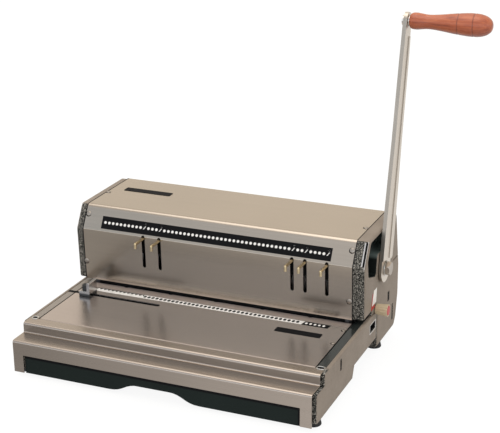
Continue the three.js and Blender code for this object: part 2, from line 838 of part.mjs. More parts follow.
// Teeth of a straight rack along an axis: a space is centred on zero, and the teeth rise from the root line
function rackTeeth(module, from, to, gap) {
  const pitch = Math.PI * module;
  const slope = Math.tan(THREE.MathUtils.degToRad(pressureDegrees));
  const halfPitch = pitch / 4 - gap / 2;
  const tipHalf = halfPitch - module * slope;
  const rootHalf = halfPitch + rootShare * module * slope;
  const points = [];
  const first = Math.ceil((from + rootHalf) / pitch - 0.5);
  const last = Math.floor((to - rootHalf) / pitch - 0.5);
  for (let tooth = first; tooth <= last; tooth += 1) {
    const centre = (tooth + 0.5) * pitch;
    points.push([centre - rootHalf, 0], [centre - tipHalf, 1]);
    points.push([centre + tipHalf, 1], [centre + rootHalf, 0]);
  }
  return points;
}

// Racks on the back of the punch bar
const pinionPitchRadius = gearModule * pinionTeeth / 2;
const rackPitchY = shaftY - pinionPitchRadius;
const rackBottomZ = 122;
const rackTopZ = 178;

function driveRack(x) {
  const backY = barFrontY + barDepth + seatGap;
  const rootY = rackPitchY - rootShare * gearModule;
  const tipY = rackPitchY + gearModule;
  const teeth = rackTeeth(gearModule, rackBottomZ - shaftZ, rackTopZ - shaftZ, flankGap)
    .map(([along, rise]) => [rootY + rise * (tipY - rootY), shaftZ + along]);
  const outline = [
    [backY, rackTopZ], [backY, rackBottomZ], [rootY, rackBottomZ], ...teeth, [rootY, rackTopZ],
  ];
  return plateX(outline, x - rackWidth / 2, x + rackWidth / 2);
}

addPiece('rack_left', driveRack(-rackX), toolSteel());
addPiece('rack_right', driveRack(rackX), toolSteel());

// Drive shaft: full width, necked down where the lever sits and tapped for its bolt
const shaftProud = 2;
const leverGap = 1.2;
const shaftLeft = frameLeft - frameThickness - shaftProud;
const leverInnerX = rightFace + leverGap;
const leverThickness = 5.4;
const leverOuterX = leverInnerX + leverThickness;
const leverFootStep = 1.6;
const leverFootX = leverOuterX - leverFootStep;
const neckRadius = 7;
const boltRadius = 4;
const boltDepth = 16;

function driveShaft() {
  const main = barX(shaftRadius, shaftLeft, leverInnerX - seatGap, shaftY, shaftZ);
  const neck = barX(neckRadius, leverInnerX - overrun, leverFootX - seatGap, shaftY, shaftZ);
  const tapped = barX(
    holeFor(boltRadius, seatGap), leverFootX - boltDepth - seatGap, leverFootX + overrun, shaftY, shaftZ,
  );
  return main.add(neck).subtract(tapped);
}

addPiece('drive_shaft', driveShaft(), toolSteel());

// Pinions on the shaft
const pinionWidth = 14;
const driveFlankShares = [0, 1];

function drivePinion(x) {
  const outline = gearOutline(gearModule, pinionTeeth, flankGap, Math.PI, driveFlankShares)
    .map((p) => p.add(new THREE.Vector2(shaftY, shaftZ)));
  const bore = barX(
    holeFor(shaftRadius, seatGap), x - pinionWidth / 2 - overrun, x + pinionWidth / 2 + overrun,
    shaftY, shaftZ,
  );
  return plateX(outline, x - pinionWidth / 2, x + pinionWidth / 2).subtract(bore);
}

addPiece('pinion_left', drivePinion(-rackX), toolSteel());
addPiece('pinion_right', drivePinion(rackX), toolSteel());

// Return springs: hung from studs on the frames, hooked to the lugs of the punch bar
const springRadius = 3.4;
const springWire = 0.7;
const springTurns = 7;
const springSteps = 5;
const springSides = 4;
const springTopZ = 173.5;
const studRadius = 2.2;
const springY = barFrontY + barDepth + lugReach - springRadius;
const springBottomZ = lugZ + lugRadius + seatGap + springWire;

class Helix extends THREE.Curve {
  constructor(x, y, z0, z1, radius, turns) {
    super();
    Object.assign(this, { x, y, z0, z1, radius, turns });
  }

  getPoint(t, target = new THREE.Vector3()) {
    const angle = 2 * Math.PI * this.turns * t;
    return target.set(
      this.x + this.radius * Math.cos(angle), this.y + this.radius * Math.sin(angle),
      this.z0 + (this.z1 - this.z0) * t,
    );
  }
}

// A tube along a curve, with flat ends
function tube(curve, radius, steps, sides) {
  const ring = Array.from({ length: sides }, (_, i) => new THREE.Vector2(
    radius * Math.cos(2 * Math.PI * i / sides), radius * Math.sin(2 * Math.PI * i / sides),
  ));
  const geometry = new THREE.ExtrudeGeometry(new THREE.Shape(ring), { steps, extrudePath: curve });
  return solidOf(geometry);
}

function returnSpring(x) {
  const curve = new Helix(x, springY, springBottomZ, springTopZ, springRadius, springTurns);
  return tube(curve, springWire, springTurns * springSteps, springSides);
}

function springStud(side) {
  const studZ = springTopZ + springWire + seatGap + studRadius;
  const x0 = Math.min(side * (springX - springRadius), side * (frameRight - seatGap));
  const x1 = Math.max(side * (springX - springRadius), side * (frameRight - seatGap));
  return barX(studRadius, x0, x1, springY, studZ, smallSides);
}

addPiece('return_spring_left', returnSpring(-springX), chrome());
addPiece('return_spring_right', returnSpring(springX), chrome());
addPiece('spring_stud_left', springStud(-1), toolSteel());
addPiece('spring_stud_right', springStud(1), toolSteel());

// Release pulls: brass wire through the slot into the bar, turned down at the finger end
const pullFrontY = 162.7;
const pullDrop = 6.6;

function releasePull(hole) {
  const x = pullX(hole);
  const stem = barY(pullRadius, pullFrontY, barFrontY + pullBoreDepth - runGap, x, pullZ, pullSides);
  const tip = barZ(pullRadius, pullZ - pullDrop, pullZ, x, pullFrontY, pullSides);
  const elbow = new THREE.SphereGeometry(pullRadius, pullSides, pullSides / 2);
  return join([stem, tip, solidOf(elbow.translate(x, pullFrontY, pullZ))]);
}

for (const hole of pulledHoles) {
  addPiece(`release_pull_${hole}`, releasePull(hole), brass());
}

// Lever: a bar folded from sheet, leaning back, with the fold's seam along its rear and a flat round foot
const leverLength = 338.9;
const leverLeanDegrees = 12.28;
const leverFootRadius = 20;
const leverHeadRadius = 11.5;
const headArcSteps = 8;
const footArcSteps = 12;
const spindleRadius = 4;
const leverTaperShares = [[0.133, 1.01], [0.354, 0.84], [0.531, 0.72], [0.841, 0.665]];
const leverSeamOffset = 5;
const leverSeamRise = 1.1;
const leverSeamStart = 14;
const leverSeamEnd = 318;
const leverStepAlong = 11.5;
const lean = THREE.MathUtils.degToRad(leverLeanDegrees);
const gripY = shaftY + leverLength * Math.sin(lean);
const gripZ = shaftZ + leverLength * Math.cos(lean);

// A point of the lever from how far it lies along it from the pivot, and how far behind its centre line
function onLever(along, behind) {
  return new THREE.Vector2(
    shaftY + along * Math.sin(lean) + behind * Math.cos(lean),
    shaftZ + along * Math.cos(lean) - behind * Math.sin(lean),
  );
}

const leverTaper = leverTaperShares.map(([along, half]) => [along * leverLength, half * leverFootRadius]);

function leverArm() {
  const rear = leverTaper.map(([along, half]) => onLever(along, half));
  const front = leverTaper.map(([along, half]) => onLever(along, -half));
  const arc = (along, radius, from, steps) => Array.from({ length: steps + 1 }, (_, i) => {
    const angle = from + Math.PI * i / steps;
    return onLever(along + radius * Math.sin(angle), radius * Math.cos(angle));
  });
  const outline = [
    ...rear, ...arc(leverLength, leverHeadRadius, 0, headArcSteps),
    ...front.reverse(), ...arc(0, leverFootRadius, Math.PI, footArcSteps),
  ];
  const bar = plateX(outline, leverInnerX, leverOuterX);
  const seamRear = leverTaper.filter(([along]) => along > leverSeamStart && along < leverSeamEnd);
  const seam = plateX([
    onLever(leverSeamStart, leverSeamOffset),
    onLever(leverSeamStart, leverFootRadius - leverSeamRise),
    ...seamRear.map(([along, half]) => onLever(along, half - leverSeamRise)),
    onLever(leverSeamEnd, leverHeadRadius - leverSeamRise), onLever(leverSeamEnd, leverSeamOffset),
  ], leverInnerX + leverThickness / 2, leverOuterX + leverSeamRise);
  const past = leverFootRadius + overrun;
  const step = plateX([
    onLever(leverStepAlong, -past), onLever(-past, -past),
    onLever(-past, past), onLever(leverStepAlong, past),
  ], leverFootX, leverOuterX + overrun);
  const bore = barX(
    holeFor(neckRadius, seatGap), leverInnerX - overrun, leverOuterX + overrun, shaftY, shaftZ,
  );
  const eye = barX(
    holeFor(spindleRadius, seatGap), leverInnerX - overrun, leverOuterX + overrun, gripY, gripZ,
  );
  return bar.add(seam).subtract(step).subtract(bore).subtract(eye);
}

addPiece('lever_arm', leverArm(), stainless());

// Lever washer and hexagon bolt
const washerRadius = leverStepAlong - 2 * seatGap;
const washerThickness = 1.2;
const boltHead = 6;
const boltHeadRadius = 10.4;
const boltSides = 6;
const chamferShares = [1.12, 0.88];
const washerX = leverFootX + seatGap;
const boltHeadX = washerX + washerThickness + seatGap;

function leverWasher() {
  const bore = barX(holeFor(boltRadius, seatGap), washerX - overrun, boltHeadX + overrun, shaftY, shaftZ);
  return barX(washerRadius, washerX, washerX + washerThickness, shaftY, shaftZ).subtract(bore);
}

function leverBolt() {
  const head = barX(boltHeadRadius, boltHeadX, boltHeadX + boltHead, shaftY, shaftZ, boltSides);
  const chamfer = barX(
    boltHeadRadius * chamferShares[0], boltHeadX, boltHeadX + boltHead, shaftY, shaftZ,
    roundSides, boltHeadRadius * chamferShares[1],
  );
  const shank = barX(
    boltRadius, leverFootX - boltDepth + seatGap, boltHeadX + boltHead / 2, shaftY, shaftZ,
  );
  return head.intersect(chamfer).add(shank);
}

addPiece('lever_washer', leverWasher(), chrome());
addPiece('lever_bolt', leverBolt(), chrome());

// Grip spindle: headed behind the lever, with a collar that the grip turns against
const spindleHead = 3;
const spindleHeadRadius = 7;
const collarRadius = 7.6;
const collarWidth = 1.8;
const gripLength = 111.5;
const gripStartX = leverOuterX + seatGap + collarWidth + seatGap;
const boreEnd = 7;

function gripSpindle() {
  const shank = barX(
    spindleRadius, leverInnerX - seatGap - spindleHead, gripStartX + gripLength - boreEnd - runGap,
    gripY, gripZ,
  );
  const head = barX(
    spindleHeadRadius, leverInnerX - seatGap - spindleHead, leverInnerX - seatGap, gripY, gripZ,
  );
  const collar = barX(
    collarRadius, leverOuterX + seatGap, leverOuterX + seatGap + collarWidth, gripY, gripZ,
  );
  return join([shank, head, collar]);
}

addPiece('grip_spindle', gripSpindle(), chrome());

// Grip: turned wood, with a collar at the lever, a neck, a swelling and a domed end
const gripProfileShares = [
  [0, 0.86], [0.02, 0.98], [0.09, 1.04], [0.14, 0.98], [0.2, 0.89], [0.28, 0.9], [0.4, 1.04],
  [0.55, 1.24], [0.7, 1.38], [0.78, 1.41], [0.86, 1.36], [0.93, 1.16], [0.975, 0.8], [0.995, 0.4],
];
const gripNeckRadius = 11;

function grip() {
  const profile = gripProfileShares.map(([along, share]) => new THREE.Vector2(
    share * gripNeckRadius, along * gripLength,
  ));
  profile.unshift(new THREE.Vector2(0, 0));
  profile.push(new THREE.Vector2(0, gripLength));
  const turned = new THREE.LatheGeometry(profile, gripSides);
  turned.applyMatrix4(turnToX);
  turned.translate(gripStartX, gripY, gripZ);
  const bore = barX(
    holeFor(spindleRadius, seatGap), gripStartX - overrun, gripStartX + gripLength - boreEnd, gripY, gripZ,
  );
  return solidOf(turned).subtract(bore);
}

addPiece('wooden_grip', grip(), finish(0xb06a48, 0.4, 0));

// Chip drawer: front with an arched finger recess, and a shallow tray behind it
const frontY = 3;
const frontThickness = 3;
const frontBottomZ = 6;
const frontGap = 1;
const archCentreX = -5.6;
const archHalfWidth = 65.6;
const archHalfTop = 21;
const archHeight = 12;
const trayGap = 7.5;
const trayHalfWidth = panRight - panSheet - trayGap;
const trayWall = 1.5;
const trayBottomZ = runnerTopZ + runGap;
const trayTopZ = 30;
const trayRearY = 232;

function chipDrawer() {
  const left = drawerLeft + frontGap;
  const right = drawerRight - frontGap;
  const top = drawerTopZ - frontGap;
  const shape = new THREE.Shape();
  const crown = frontBottomZ + archHeight;
  const ease = (archHalfWidth - archHalfTop) / 2;
  shape.moveTo(left, frontBottomZ);
  shape.lineTo(archCentreX - archHalfWidth, frontBottomZ);
  shape.bezierCurveTo(
    archCentreX - archHalfWidth + ease, frontBottomZ, archCentreX - archHalfTop - ease, crown,
    archCentreX - archHalfTop, crown,
  );
  shape.lineTo(archCentreX + archHalfTop, crown);
  shape.bezierCurveTo(
    archCentreX + archHalfTop + ease, crown, archCentreX + archHalfWidth - ease, frontBottomZ,
    archCentreX + archHalfWidth, frontBottomZ,
  );
  shape.lineTo(right, frontBottomZ);
  shape.lineTo(right, top);
  shape.lineTo(left, top);
  const front = plateY(shape.getPoints(8), frontY, frontY + frontThickness);
  const trayFrontY = frontY + frontThickness / 2;
  const tray = block(-trayHalfWidth, trayHalfWidth, trayFrontY, trayRearY, trayBottomZ, trayTopZ);
  const inside = block(
    -trayHalfWidth + trayWall, trayHalfWidth - trayWall, frontY + frontThickness, trayRearY - trayWall,
    trayBottomZ + trayWall, trayTopZ + overrun,
  );
  return tray.subtract(inside).add(front);
}

addPiece('chip_drawer', chipDrawer(), darkPlastic());

// Side guide: a fence with a foot that is keyed into the table's slot
const guideLeft = -190.6;
const guideWidth = 17;
const guideFrontY = 138;
const guideRearY = 160;
const guideFootHeight = 7;
const guideHeight = 20.5;
const fenceWidth = 4.5;
const keyLength = 8;
const keyFoot = 2.5;
const keyFootHalf = 5;
const guideEdge = 1.5;
const screwRadius = 5.2;
const screwShank = 2;
const screwSides = 12;
const screwHead = 6.5;
const screwFlutes = 12;
const screwFluteDepth = 0.5;
const screwX = guideLeft + screwRadius + runGap;

function sideGuide() {
  const bottom = tableZ + seatGap;
  const outline = [
    [guideLeft, bottom], [guideLeft + guideWidth, bottom],
    [guideLeft + guideWidth, bottom + guideHeight, guideEdge],
    [guideLeft + guideWidth - fenceWidth, bottom + guideHeight, guideEdge],
    [guideLeft + guideWidth - fenceWidth, bottom + guideFootHeight, guideEdge],
    [guideLeft, bottom + guideFootHeight, guideEdge],
  ];
  const body = plateY(rounded(outline), guideFrontY, guideRearY);
  const keyX = guideLeft + guideWidth / 2;
  const keyBottom = tableZ - coverSheet - seatGap;
  const key = block(
    keyX - keyLength / 2, keyX + keyLength / 2,
    guideSlotY - guideSlotWidth / 2 + runGap, guideSlotY + guideSlotWidth / 2 - runGap,
    keyBottom - keyFoot, bottom + overrun,
  );
  const foot = block(
    keyX - keyLength / 2, keyX + keyLength / 2, guideSlotY - keyFootHalf, guideSlotY + keyFootHalf,
    keyBottom - keyFoot, keyBottom,
  );
  const screwHole = barZ(
    holeFor(screwShank, seatGap, screwSides), bottom + overrun, bottom + guideHeight,
    screwX, guideSlotY, screwSides,
  );
  return join([body, key, foot]).subtract(screwHole);
}

function guideScrew() {
  const seat = tableZ + seatGap + guideFootHeight + seatGap;
  const shank = barZ(
    screwShank, tableZ + seatGap + overrun + seatGap, seat + screwHead / 2, screwX, guideSlotY, screwSides,
  );
  const head = fluted(
    'z', screwRadius, screwRadius, seat, seat + screwHead, screwX, guideSlotY,
    screwFlutes, screwFluteDepth,
  );
  return head.add(shank);
}

// A fluted round, plain at its middle and scalloped outside, along X or Z
function fluted(axis, startRadius, endRadius, from, to, a, b, flutes, depth) {
  const points = Array.from({ length: flutes * 2 }, (_, i) => {
    const angle = Math.PI * i / flutes;
    const radius = i % 2 ? startRadius - depth : startRadius;
    return new THREE.Vector2(radius * Math.cos(angle), radius * Math.sin(angle));
  });
  const geometry = new THREE.ExtrudeGeometry(new THREE.Shape(points), {
    depth: to - from, bevelEnabled: false,
  });
  const position = geometry.attributes.position;
  for (let i = 0; i < position.count; i += 1) {
    const swell = 1 + (endRadius / startRadius - 1) * position.getZ(i) / (to - from);
    position.setX(i, position.getX(i) * swell);
    position.setY(i, position.getY(i) * swell);
  }
  if (axis === 'x') {
    geometry.applyMatrix4(sideBasis);
    geometry.translate(from, a, b);
  } else {
    geometry.translate(a, b, from);
  }
  return solidOf(geometry);
}

addPiece('side_guide', sideGuide(), chrome());
addPiece('side_guide_screw', guideScrew(), chrome());

// Margin knob, its red end cap and its shaft with two fine pinions
const knobStartX = rightFace + 1;
const knobLength = 17.5;
const knobRootRadius = 7.3;
const knobFaceRadius = 8.9;
const knobFlutes = 14;
const knobFluteDepth = 0.6;
const knobCapRadius = 6.9;
const knobCapRecess = 2;
const knobBoreEnd = 5;
const finePinionX = 120;
const finePinionWidth = 8;
const fineFlankShares = [1];

function marginKnob() {
  const faceX = knobStartX + knobLength;
  const body = fluted(
    'x', knobRootRadius, knobFaceRadius, knobStartX, faceX, depthShaftY, depthShaftZ,
    knobFlutes, knobFluteDepth,
  );
  const bore = barX(
    holeFor(depthShaftRadius, seatGap), knobStartX - overrun, faceX - knobBoreEnd, depthShaftY, depthShaftZ,
  );
  const recess = barX(
    holeFor(knobCapRadius, seatGap), faceX - knobCapRecess, faceX + overrun, depthShaftY, depthShaftZ,
  );
  return body.subtract(bore).subtract(recess);
}

function knobCap() {
  const faceX = knobStartX + knobLength;
  return barX(
    knobCapRadius, faceX - knobCapRecess + seatGap, faceX + seatGap, depthShaftY, depthShaftZ,
  );
}

function depthShaft() {
  const shaft = barX(
    depthShaftRadius, frameLeft - frameThickness, knobStartX + knobLength - knobBoreEnd - runGap,
    depthShaftY, depthShaftZ,
  );
  const outline = gearOutline(depthModule, depthTeeth, flankGap, -Math.PI / 2, fineFlankShares)
    .map((p) => p.add(new THREE.Vector2(depthShaftY, depthShaftZ)));
  const gears = [-finePinionX, finePinionX].map((x) => plateX(
    outline, x - finePinionWidth / 2, x + finePinionWidth / 2,
  ));
  return join([shaft, ...gears]);
}

addPiece('margin_knob', marginKnob(), finish(0xc9b795, 0.5, 0));
addPiece('margin_knob_cap', knobCap(), finish(0xb3322e, 0.4, 0));
addPiece('depth_shaft', depthShaft(), toolSteel());

// Paper backstop: a full-width bar in the throat with two toothed arms under the fine pinions
const armClear = 3;
const stopFrontY = 211.5;
const stopDepth = 3.5;
const stopBottomZ = dieTopZ + runGap;
const stopTopZ = guideBottomZ - runGap;
const armStepY = dieFrontY + dieDepth + armClear;
const armRearY = 249;
const armTeethFrontY = 227;
const armBottomZ = 61;
const armWidth = 12;

function backstop() {
  const bar = block(
    frameLeft + 2 * runGap, frameRight - 2 * runGap, stopFrontY, stopFrontY + stopDepth,
    stopBottomZ, stopTopZ,
  );
  const pitchZ = depthShaftZ - depthModule * depthTeeth / 2;
  const rootZ = pitchZ - rootShare * depthModule;
  const tipZ = pitchZ + depthModule;
  const teeth = rackTeeth(depthModule, armTeethFrontY - depthShaftY, armRearY - depthShaftY, flankGap)
    .map(([along, rise]) => [depthShaftY + along, rootZ + rise * (tipZ - rootZ)]);
  const outline = [
    [stopFrontY + stopDepth / 2, stopBottomZ], [armStepY, stopBottomZ], [armStepY, armBottomZ],
    [armRearY, armBottomZ], [armRearY, rootZ], ...teeth.reverse(),
    [armStepY + stopDepth, rootZ], [armStepY + stopDepth, stopTopZ - runGap],
    [stopFrontY + stopDepth / 2, stopTopZ - runGap],
  ];
  const arms = [-finePinionX, finePinionX].map((x) => plateX(outline, x - armWidth / 2, x + armWidth / 2));
  return join([bar, ...arms]);
}

addPiece('paper_backstop', backstop(), toolSteel());

// The part's origin is under the middle of its whole box, on the floor
const box = new THREE.Box3().setFromObject(group);
const middle = box.getCenter(new THREE.Vector3());
group.position.set(-middle.x, -middle.y, -box.min.z);

export default group;
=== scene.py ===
"""Desk punch for coil binding: the surfaces, print and small fittings that dress the CAD model."""

import json
import math

import bmesh
import bpy
from mathutils import Matrix, Vector

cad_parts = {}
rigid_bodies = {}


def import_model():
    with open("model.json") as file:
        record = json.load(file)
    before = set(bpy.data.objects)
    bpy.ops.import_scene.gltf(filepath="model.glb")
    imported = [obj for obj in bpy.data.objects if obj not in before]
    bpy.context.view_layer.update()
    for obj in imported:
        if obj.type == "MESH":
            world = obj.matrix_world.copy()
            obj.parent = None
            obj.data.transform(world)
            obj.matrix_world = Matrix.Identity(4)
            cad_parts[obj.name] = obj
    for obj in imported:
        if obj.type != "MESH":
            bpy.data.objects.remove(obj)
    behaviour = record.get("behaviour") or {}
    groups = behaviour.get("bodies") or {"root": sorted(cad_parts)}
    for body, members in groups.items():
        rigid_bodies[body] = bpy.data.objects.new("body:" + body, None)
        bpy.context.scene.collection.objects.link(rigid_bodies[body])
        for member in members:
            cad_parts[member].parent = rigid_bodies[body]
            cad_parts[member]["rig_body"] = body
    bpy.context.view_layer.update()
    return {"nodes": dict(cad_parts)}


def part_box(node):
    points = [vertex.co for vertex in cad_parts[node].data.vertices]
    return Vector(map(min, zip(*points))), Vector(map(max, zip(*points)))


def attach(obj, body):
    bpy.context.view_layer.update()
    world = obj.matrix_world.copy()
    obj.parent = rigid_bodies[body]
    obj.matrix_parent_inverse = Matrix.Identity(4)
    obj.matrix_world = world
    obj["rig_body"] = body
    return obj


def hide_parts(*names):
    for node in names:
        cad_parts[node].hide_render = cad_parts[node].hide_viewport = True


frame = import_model()
bpy.context.scene.view_settings.view_transform = "Standard"

# Machine coordinates in millimetres: X from the front cover's middle, Y from its skirt, Z from the desk
COVER_LOW, COVER_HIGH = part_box("base_front_cover")
HOME = Vector(((COVER_LOW.x + COVER_HIGH.x) / 2, COVER_LOW.y, 0))


def at(x, y, z):
    """A place in machine millimetres, in the row frame's metres."""
    return HOME + Vector((x, y, z)) / 1000


# Sizes of the solids that the dressing follows, in millimetres
LEFT_FACE = -218.4
RIGHT_FACE = 220.6
SHEET = 1.5
TABLE_Z = 67.55
TOP_Z = 183.6
PANEL_FOOT = (189.0, 73.5)
PANEL_BEND = (186.2, 151.2)
PANEL_BROW = (204.6, TOP_Z)
HOUSING_LINE = [PANEL_FOOT, PANEL_BEND, PANEL_BROW, (329.0, TOP_Z)]
HOUSING_BENDS = (2.0, 7.0)
HOUSING_SIDES = (-206.7, 203.0)
BASE_LINE = [(0, 7.0), (0, 53.1), (29.1, 53.1), (29.1, TABLE_Z), (47.2, TABLE_Z)]
BASE_BENDS = (3.6, 1.6, 3.6)
BASE_SIDES = (-215.6, 215.6)
TABLE_DEPTH = (47.6, 194.0)
GUIDE_SLOT = (-187.0, -69.0, 146.4, 150.4)
HOLE_COUNT = 55
HOLE_PITCH = 6.2865
HOLE_ROW_X = -3.0
PULLED_HOLES = (11, 15, 47, 50, 55)
GRIP_GROOVES = (295.5, 316.8)
GRIP_AXIS = (335.58, 456.15)

# Flat print and lines: their underside, the top of a thin line and the top of a scale's band
SUNK = -0.1
FILM = 0.12
BAND_FILM = 0.22


# Drawing planes: a place they pass through, their X and their Y

def level_plane(z, y=0):
    return (0, y, z), (1, 0, 0), (0, 1, 0)


def front_plane(y):
    return (0, y, 0), (1, 0, 0), (0, 0, 1)


def side_plane(x):
    return (x, 0, 0), (0, 1, 0), (0, 0, 1)


def leaning_plane(foot, head):
    """The plane through two points of the YZ plane, with its Y up the slope."""
    return (0, *foot), (1, 0, 0), (0, head[0] - foot[0], head[1] - foot[1])


ON_TABLE = level_plane(TABLE_Z)
ON_TOP = level_plane(TOP_Z)
ON_PANEL = leaning_plane(PANEL_FOOT, PANEL_BEND)
ON_FACET = leaning_plane(PANEL_BEND, PANEL_BROW)
ON_RIGHT = side_plane(RIGHT_FACE)


def hole_x(hole):
    """Where a hole of the row stands, counted from the left."""
    return HOLE_ROW_X + (hole - (HOLE_COUNT + 1) / 2) * HOLE_PITCH


class Nodes:
    """A node tree under construction."""

    def __init__(self, tree):
        self.tree = tree

    def feed(self, socket, value):
        """Links an output to a socket, or sets the socket to a value."""
        if isinstance(value, bpy.types.NodeSocket):
            self.tree.links.new(value, socket)
        elif isinstance(value, tuple) and socket.type == "RGBA":
            socket.default_value = (*value, 1)
        else:
            socket.default_value = value

    def node(self, kind, **sockets):
        node = self.tree.nodes.new(kind)
        for name, value in sockets.items():
            label = name.replace("_", " ")
            self.feed(next(s for s in node.inputs if s.name == label and s.enabled), value)
        return node

    def math(self, operation, first, second=0.0):
        node = self.node("ShaderNodeMath")
        node.operation = operation
        self.feed(node.inputs[0], first)
        self.feed(node.inputs[1], second)
        return node.outputs[0]

    def range(self, value, low, high, start=0.0, end=1.0):
        """Maps a value that runs from start to end onto low to high."""
        return self.node(
            "ShaderNodeMapRange", Value=value, From_Min=start, From_Max=end,
            To_Min=low, To_Max=high).outputs[0]

    def split(self, vector):
        return self.node("ShaderNodeSeparateXYZ", Vector=vector).outputs

    def ramp(self, factor, stops):
        node = self.node("ShaderNodeValToRGB")
        elements = node.color_ramp.elements
        elements.remove(elements[1])
        for i, (position, colour) in enumerate(stops):
            element = elements[0] if i == 0 else elements.new(position)
            element.position = position
            element.color = (*colour, 1)
        self.feed(node.inputs[0], factor)
        return node.outputs["Color"]

    def blend(self, factor, first, second):
        node = self.node("ShaderNodeMix")
        node.data_type = "RGBA"
        self.feed(node.inputs["Factor"], factor)
        for name, value in (("A", first), ("B", second)):
            self.feed(next(s for s in node.inputs if s.name == name and s.type == "RGBA"), value)
        return next(s for s in node.outputs if s.type == "RGBA")


def stood(place, x, y, z):
    """The matrix that stands three axes at a place."""
    turn = Matrix((x, y, z)).transposed().to_4x4()
    turn.translation = place
    return turn


# Camera and studio

CAMERA_PLACE = (723.19, -1371.45, 814.80)
CAMERA_ANGLES = (23.196, 19.821, -0.589)
LENS_PIXELS = 1327.28
PICTURE_PIXELS = 500
SENSOR_WIDTH = 36


def make_camera():
    """The camera at the photograph's angle, from its azimuth, elevation and roll in degrees."""
    azimuth, elevation, roll = (math.radians(v) for v in CAMERA_ANGLES)
    back = Vector((
        math.sin(azimuth) * math.cos(elevation),
        -math.cos(azimuth) * math.cos(elevation),
        math.sin(elevation),
    ))
    level = (-back).cross(Vector((0, 0, 1))).normalized()
    rise = level.cross(-back)
    right = level * math.cos(roll) + rise * math.sin(roll)
    up = rise * math.cos(roll) - level * math.sin(roll)
    lens = bpy.data.cameras.new("camera")
    lens.sensor_width = SENSOR_WIDTH
    lens.lens = SENSOR_WIDTH * LENS_PIXELS / PICTURE_PIXELS
    lens.clip_end = 50
    camera = bpy.data.objects.new("camera", lens)
    camera.matrix_world = stood(at(*CAMERA_PLACE), right, up, back)
    bpy.context.scene.collection.objects.link(camera)
    bpy.context.scene.camera = camera


def make_lamp(name, place, aim, size, power, colour):
    data = bpy.data.lights.new(name, "AREA")
    data.shape = "RECTANGLE"
    data.size, data.size_y = size
    data.energy = power
    data.color = colour
    lamp = bpy.data.objects.new(name, data)
    lamp.location = place
    lamp.rotation_euler = (Vector(aim) - Vector(place)).to_track_quat("-Z", "Y").to_euler()
    bpy.context.scene.collection.objects.link(lamp)


# What the metal sees, from level to straight up, in front and behind
CEILING = (0.97, (1.56, 1.5, 1.43))
FRONT_ROOM = [
    (0.24, (1.5, 1.54, 1.6)), (0.40, (0.69, 0.90, 1.08)), (0.60, (0.77, 0.75, 0.76)),
    (0.86, (0.85, 0.82, 0.80)), CEILING]
REAR_ROOM = [(0.0, (1.0, 0.93, 0.79)), (0.5, (1.02, 0.94, 0.83)), (0.86, (0.98, 0.93, 0.86)), CEILING]
ROOMS_MEET = 0.35
FRONT_ACROSS = (-0.52, -0.26)
FRONT_LIGHT = (0.86, 1.24)
SOFT_LIGHT = (1.0, 0.97, 0.93)


def make_world():
    """White to the eye; the metal sees a warm wall behind, a pale ceiling and a greyer room in front."""
    world = bpy.data.worlds.new("studio")
    bpy.context.scene.world = world
    world.use_nodes = True
    t = Nodes(world.node_tree)
    t.tree.nodes.clear()
    view = t.split(t.node("ShaderNodeTexCoord").outputs["Generated"])
    turn = t.range(view["Y"], 0.0, 1.0, -ROOMS_MEET, ROOMS_MEET)
    turn.node.interpolation_type = "SMOOTHSTEP"
    front = t.node("ShaderNodeVectorMath")
    front.operation = "SCALE"
    t.feed(front.inputs[0], t.ramp(view["Z"], FRONT_ROOM))
    t.feed(front.inputs["Scale"], t.range(view["X"], *FRONT_LIGHT, *FRONT_ACROSS))
    room = t.blend(turn, front.outputs[0], t.ramp(view["Z"], REAR_ROOM))
    rays = t.node("ShaderNodeLightPath").outputs
    even = t.blend(rays["Is Diffuse Ray"], room, SOFT_LIGHT)
    white = t.blend(rays["Is Camera Ray"], even, (1.0, 1.0, 1.0))
    background = t.node("ShaderNodeBackground", Color=white)
    t.node("ShaderNodeOutputWorld", Surface=background.outputs[0])


FLOOR_COLOUR = (0.62, 0.62, 0.61)
FLOOR_REACH = 12
FLOOR_LIGHT = 1.14
FLOOR_SHARE = 0.8
FLOOR_ACROSS = (-0.3, 0.15)
FLOOR_MIRRORED = (0.46, 1.0)


def make_floor():
    """A pale floor that keeps its shadow, white to the camera and dimmer where metal mirrors its left."""
    material = bpy.data.materials.new("pale_floor")
    material.use_nodes = True
    t = Nodes(material.node_tree)
    t.tree.nodes.clear()
    rays = t.node("ShaderNodeLightPath").outputs
    seen = t.math("MAXIMUM", rays["Is Camera Ray"], rays["Is Transmission Ray"])
    seen = t.math("MAXIMUM", seen, rays["Is Glossy Ray"])
    place = t.split(t.node("ShaderNodeTexCoord").outputs["Object"])
    mirrored = t.range(place["X"], *FLOOR_MIRRORED, *FLOOR_ACROSS)
    light = t.node("ShaderNodeMix", Factor=rays["Is Camera Ray"], A=mirrored, B=FLOOR_LIGHT)
    glow = t.node("ShaderNodeEmission", Strength=light.outputs["Result"])
    diffuse = t.node("ShaderNodeBsdfDiffuse", Color=FLOOR_COLOUR)
    mix = t.node("ShaderNodeMixShader")
    t.feed(mix.inputs[0], t.math("MULTIPLY", seen, FLOOR_SHARE))
    t.feed(mix.inputs[1], diffuse.outputs[0])
    t.feed(mix.inputs[2], glow.outputs[0])
    t.node("ShaderNodeOutputMaterial", Surface=mix.outputs[0])
    mesh = bpy.data.meshes.new("floor")
    corners = [(x * FLOOR_REACH, y * FLOOR_REACH, 0) for x, y in ((-1, -1), (1, -1), (1, 1), (-1, 1))]
    mesh.from_pydata(corners, [], [(0, 1, 2, 3)])
    mesh.materials.append(material)
    floor = bpy.data.objects.new("floor", mesh)
    bpy.context.scene.collection.objects.link(floor)


# Finishes

